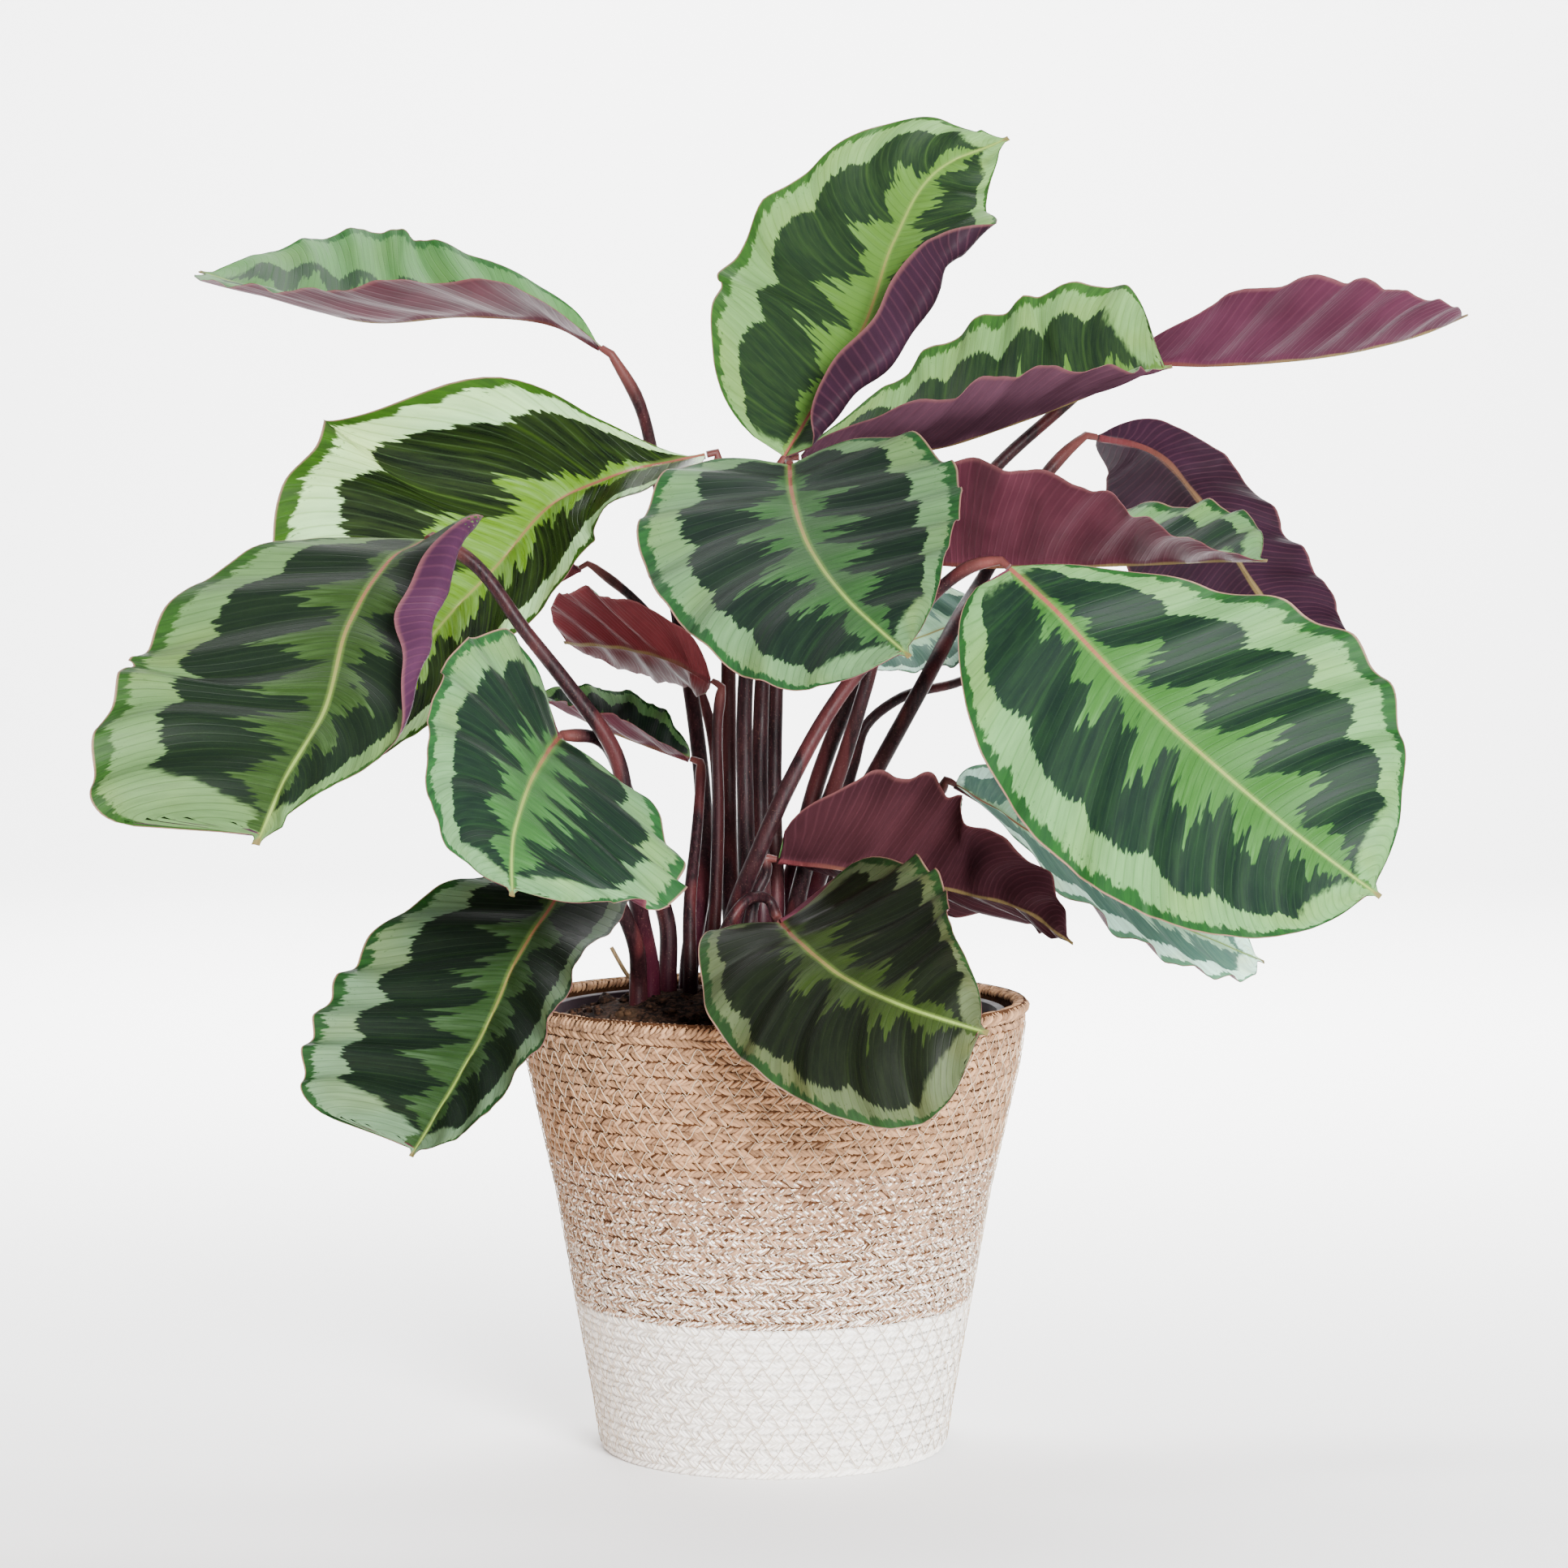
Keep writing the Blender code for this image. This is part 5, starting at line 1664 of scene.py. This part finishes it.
@dataclass(frozen=True)
class PotShape:
    """Sizes of the nursery pot and of its soil, as in the solids."""

    floor_z: float = 6.3
    top_z: float = 190.0
    wall: float = 1.2
    floor: float = 2.0
    bottom_radius: float = 67.0
    top_radius: float = 98.0
    lip_radius: float = 101.0
    lip_height: float = 6.0
    lip_round: float = 0.8
    steps: int = 160
    soil_gap: float = 0.3
    soil_side_z: float = 178.0
    edge_z: float = 184.0
    mound: float = 13.5
    crown: tuple = (-32.0, 0.0)
    reach: float = 50.0
    crumb: float = 0.9
    crumb_size: float = 14.0
    clods: tuple = ((5, 4.5, 1.1), (9, 1.9, 0.6))
    rings: int = 72
    soil_steps: int = 180
    crumbs: int = 620
    crumb_rings: int = 6
    crumb_steps: int = 8
    crumb_pole: float = 1.52
    crumb_law: tuple = (0.5, 0.5)
    crumb_range: tuple = (0.8, 4.6)
    crumb_stretch: tuple = (0.6, 1.3)
    crumb_uneven: tuple = (0.82, 1.18)
    crumb_rise: float = 0.25
    crumb_edge: float = 6.0
    crumb_space: float = 4.4

    def radius(self, z: float) -> float:
        """Outer radius of the pot at a height."""
        return float(np.interp(z, (self.floor_z, self.top_z), (self.bottom_radius, self.top_radius)))


class PotFinish:
    """Dark satin plastic, a little cloudy."""

    def material(self) -> bpy.types.Material:
        """Makes the finish.

        Returns:
            The material.
        """
        finish = Finish("pot_satin_plastic", 0.55, Specular_IOR_Level=0.12)
        graph = finish.graph
        cloud = graph.noise(graph.place(), 60, 3)
        finish.put("Base Color", graph.mix(cloud, tone(26, 15, 21), tone(38, 24, 31)))
        finish.put("Roughness", graph.ease(cloud, 0.3, 0.7, 0.5, 0.65))
        return finish.material


class NurseryPot:
    """The thin plastic pot, with a rounded lip."""

    def __init__(self, shape: PotShape) -> None:
        """Takes the sizes."""
        self.shape = shape

    def profile(self) -> list[tuple[float, float]]:
        """Profile of the pot.

        Returns:
            Radius and height of each point, down the outer side and up the inner one.
        """
        shape = self.shape
        top, lip, curve = shape.top_z, shape.lip_radius, shape.lip_round
        inside, low = shape.top_radius - shape.wall, top - shape.lip_height
        floor = shape.floor_z + shape.floor
        turns = np.linspace(0, QUARTER_TURN, 5)
        outer = [(lip - curve + curve * math.sin(a), top - curve + curve * math.cos(a)) for a in turns]
        outer += [(lip, low + 0.3), (lip - 0.4, low)] + [(shape.radius(z), z) for z in (low, 140, 80, 30)]
        outer += [(shape.bottom_radius, shape.floor_z), (0.05, shape.floor_z), (0.05, floor)]
        inner = [(shape.radius(z) - shape.wall, z) for z in (floor, 80, 150, 184)]
        return outer + inner + [(inside, top - 0.4), (inside + 0.5, top)]

    def make(self) -> None:
        """Makes the pot, which replaces its solid."""
        piece = Piece("pot_shell")
        piece.add(*turned(self.profile(), self.shape.steps))
        piece.make([PotFinish().material()], "nursery_pot", "pot_plastic", 40)


class SoilFinish:
    """Dark soil with paler crumbs and dry patches."""

    def material(self) -> bpy.types.Material:
        """Makes the finish.

        Returns:
            The material.
        """
        finish = Finish("soil_crumbly", 0.97, Specular_IOR_Level=0.08)
        graph = finish.graph
        cells = graph.noise(graph.place(), 420, 4, 0.65)
        patch = graph.noise(graph.place(), 60, 2)
        base = graph.mix(graph.ease(cells, 0.4, 0.68), tone(17, 11, 9), tone(66, 46, 34))
        finish.put("Base Color", graph.mix(graph.ease(patch, 0.5, 0.8, 0.0, 0.5), base, tone(88, 66, 46)))
        finish.relief(cells, 0.9)
        return finish.material


class Soil:
    """Potting soil: a crumbly top raised round the crown, with loose crumbs on it."""

    SEED = 41

    def __init__(self, shape: PotShape, feet: list[tuple[float, float]]) -> None:
        """Starts the draws.

        Args:
            shape: The sizes.
            feet: The feet of the stalks, which crumbs keep off.
        """
        self.shape = shape
        self.feet = np.array(feet)
        self.draw = np.random.default_rng(self.SEED)

    def height(self, x: float, y: float) -> float:
        """Height of the soil, raised round the crown as in the solid, with smaller clods.

        Args:
            x: Place across the pot.
            y: Place along the depth.

        Returns:
            The height.
        """
        shape = self.shape
        distance = math.hypot(x - shape.crown[0], y - shape.crown[1])
        mound = shape.mound * math.exp(-((distance / shape.reach) ** 3))
        clods = sum(noise.noise(Vector((x, y, z)) / size) * rise for z, size, rise in shape.clods)
        return shape.edge_z + mound + shape.crumb * noise.noise(Vector((x, y, 0)) / shape.crumb_size) + clods

    def top(self) -> tuple[Array, Array]:
        """Surface of the soil.

        Returns:
            Points and faces of its top, side and floor.
        """
        shape = self.shape
        inset = shape.wall + shape.soil_gap
        edge = shape.radius(shape.edge_z) - inset
        floor = shape.floor_z + shape.floor + shape.soil_gap
        radii = [*(np.linspace(0.05, 1, shape.rings) * edge), edge, shape.radius(floor) - inset, 0.05]
        heights = [0.0] * shape.rings + [shape.soil_side_z, floor, floor]
        points = revolve(radii, heights, shape.soil_steps)
        for ring in points[: shape.rings]:
            for point in ring:
                point[2] = self.height(point[0], point[1])
        return points, grid_quads(len(radii), shape.soil_steps, wrap=True)

    def add_crumbs(self, piece: Piece) -> None:
        """Adds loose crumbs: small uneven lumps that are half sunk in the soil.

        Args:
            piece: Where they go.
        """
        shape = self.shape
        edge = shape.radius(shape.edge_z) - shape.crumb_edge
        for _ in range(shape.crumbs):
            radius, turn = edge * math.sqrt(self.draw.random()), self.draw.random() * math.tau
            x, y = radius * math.cos(turn), radius * math.sin(turn)
            size = float(np.clip(self.draw.lognormal(*shape.crumb_law), *shape.crumb_range))
            if np.hypot(*(self.feet - (x, y)).T).min() < shape.crumb_space + size:
                continue
            lump, faces = self.lump(size)
            piece.add(lump + (x, y, self.height(x, y) + shape.crumb_rise * size), faces)

    def lump(self, size: float) -> tuple[Array, Array]:
        """Uneven lump round the origin.

        Args:
            size: Its radius.

        Returns:
            Its points and faces.
        """
        shape = self.shape
        rings, steps = shape.crumb_rings, shape.crumb_steps
        rise = np.linspace(-shape.crumb_pole, shape.crumb_pole, rings)
        grid = revolve(np.cos(rise), np.sin(rise), steps)
        stretch = self.draw.uniform(*shape.crumb_stretch, 3) * (1, 1, 0.8)
        uneven = self.draw.uniform(*shape.crumb_uneven, (rings, steps, 1))
        return (grid * uneven * stretch * size).reshape(-1, 3), grid_quads(rings, steps, wrap=True)

    def make(self) -> None:
        """Makes the soil, which replaces its solid."""
        piece = Piece("soil_crumbs")
        piece.add(*self.top())
        self.add_crumbs(piece)
        piece.make([SoilFinish().material()], "soil", "potting_soil", 60)


class DryStalkFinish:
    """Straw with long fibres."""

    def material(self) -> bpy.types.Material:
        """Makes the finish.

        Returns:
            The material.
        """
        finish = Finish("dry_stalk_fibres", 0.85)
        graph = finish.graph
        x, y, z = graph.split(graph.place())
        streak = graph.noise(graph.join(x, y, z * 0.1), 1500, 3, 0.6)
        finish.put("Base Color", graph.mix(streak, tone(120, 92, 60), tone(206, 178, 132)))
        finish.relief(streak, 0.2)
        return finish.material


class DryStalk:
    """The dry stalk left from an older leaf."""

    PATH = ((-60, 0, 172), (-60, 0, 200), (-64, -2, 206), (-70, -4, 217))
    RADIUS = 1.15
    SIDES = 12

    def make(self) -> None:
        """Makes the stalk, which replaces its solid."""
        path = smooth_curve(self.PATH[1:], np.linspace(0, 1, 30), start=(0, 0, 1))
        path = np.concatenate([np.linspace(self.PATH[0], path[0], 8)[:-1], path])
        share = along(path) / along(path)[-1]
        piece = Piece("dry_stalk_straw")
        points, faces, _ = tube(path, self.RADIUS * (1.04 - 0.25 * share), self.SIDES)
        piece.add(points, faces)
        piece.make([DryStalkFinish().material()], "dry_stalk", "dry_stalk_straw")


# Stage, light and camera


@dataclass(frozen=True)
class Lamp:
    """A soft lamp: its place and the point it faces in metres, its size and its power."""

    name: str
    place: tuple
    target: tuple
    size: float
    watts: float
    colour: Colour = (1.0, 1.0, 1.0)

    def make(self) -> None:
        """Makes the lamp."""
        light = bpy.data.lights.new(self.name, "AREA")
        light.shape, light.size, light.energy, light.color = "DISK", self.size, self.watts, self.colour
        lamp = bpy.data.objects.new(self.name, light)
        lamp.location = self.place
        aim = Vector(self.target) - Vector(self.place)
        lamp.rotation_euler = aim.to_track_quat("-Z", "Y").to_euler()
        bpy.context.scene.collection.objects.link(lamp)


class Stage:
    """The pale floor that sweeps up behind, the lamps and the camera. Lengths are in metres."""

    LAMPS = (
        Lamp("key_lamp", (0.8, -2.25, 0.95), (0, 0, 0.25), 1.0, 245),
        Lamp("warm_lamp", (-0.55, -0.55, 0.05), (0, 0, 0.08), 0.3, 2.2, (1.0, 0.42, 0.12)),
        Lamp("low_lamp", (0.40, -0.72, 0.05), (0, 0, 0.05), 0.3, 7.5),
        Lamp("top_lamp", (-0.9, 0.3, 1.9), (0, 0, 0.4), 1.2, 4),
        Lamp("backdrop_lamp", (0, 1.2, 2.2), (0, 3.6, 0.3), 2.0, 520),
    )
    WORLD_STRENGTH = 0.7
    CAMERA_PLACE = (0.0046, -1.80, 0.3944)
    CAMERA_PITCH = 86.6
    CAMERA_LENS = 95.83
    SWEEP_HALF_WIDTH = 5.0
    SWEEP_BEND = 1.0
    SWEEP_START = 3.0
    SWEEP_COLUMNS = 9
    SWEEP_COLOURS = ((0.86, 0.86, 0.86), (0.88, 0.88, 0.88))

    def make_floor(self) -> None:
        """Makes the floor and the back wall as one sweep."""
        bend, start, half = self.SWEEP_BEND, self.SWEEP_START, self.SWEEP_HALF_WIDTH
        turns = np.linspace(0.1, QUARTER_TURN, 14)
        rows = [(-half, 0.0), (start, 0.0)]
        rows += [(start + bend * math.sin(a), bend - bend * math.cos(a)) for a in turns]
        rows.append((start + bend, half))
        points = [(x, y, z) for y, z in rows for x in np.linspace(-half, half, self.SWEEP_COLUMNS)]
        mesh = bpy.data.meshes.new("sweep")
        mesh.from_pydata(points, [], grid_quads(len(rows), self.SWEEP_COLUMNS).tolist())
        mesh.shade_smooth()
        finish = Finish("sweep_white", 0.9)
        graph = finish.graph
        finish.put("Base Color", graph.mix(graph.noise(graph.place(), 3, 1), *self.SWEEP_COLOURS))
        mesh.materials.append(finish.material)
        sweep = bpy.data.objects.new("sweep", mesh)
        bpy.context.scene.collection.objects.link(sweep)

    def make(self) -> None:
        """Makes the floor, the world light, the lamps and the camera."""
        self.make_floor()
        world = bpy.data.worlds.new("soft_white")
        world.use_nodes = True
        back = world.node_tree.nodes["Background"]
        back.inputs["Color"].default_value = (1, 1, 1, 1)
        back.inputs["Strength"].default_value = self.WORLD_STRENGTH
        scene = bpy.context.scene
        scene.world = world
        for lamp in self.LAMPS:
            lamp.make()
        camera = bpy.data.cameras.new("photo_camera")
        camera.lens, camera.sensor_width, camera.clip_end = self.CAMERA_LENS, 36, 50
        eye = bpy.data.objects.new("photo_camera", camera)
        eye.location = self.CAMERA_PLACE
        eye.rotation_euler = (math.radians(self.CAMERA_PITCH), 0, 0)
        scene.collection.objects.link(eye)
        scene.camera = eye


def main() -> None:
    """Builds the visible plant, its basket and the stage."""
    VeinLines().build()
    UpperMarking().build()
    tones = {kind: kind.value.material(kind.name) for kind in [*LeafTone, *UnderTone]}
    stalk = StalkFinish().material()
    for number, leaf in enumerate(LEAVES):
        Blade(leaf, BladeShape(), number).make(tones)
        Stalk(leaf, StalkShape()).make(stalk)
    LOG.info("plant done: %d leaves", len(LEAVES))
    jute = JuteFinishes()
    jute.build()
    Basket(BasketShape()).make(jute)
    shape = PotShape()
    NurseryPot(shape).make()
    Soil(shape, [leaf.foot for leaf in LEAVES] + [DryStalk.PATH[0][:2]]).make()
    DryStalk().make()
    Stage().make()


if __name__ == "__main__":
    logging.basicConfig(level=logging.INFO, format="%(name)s: %(message)s")
    main()
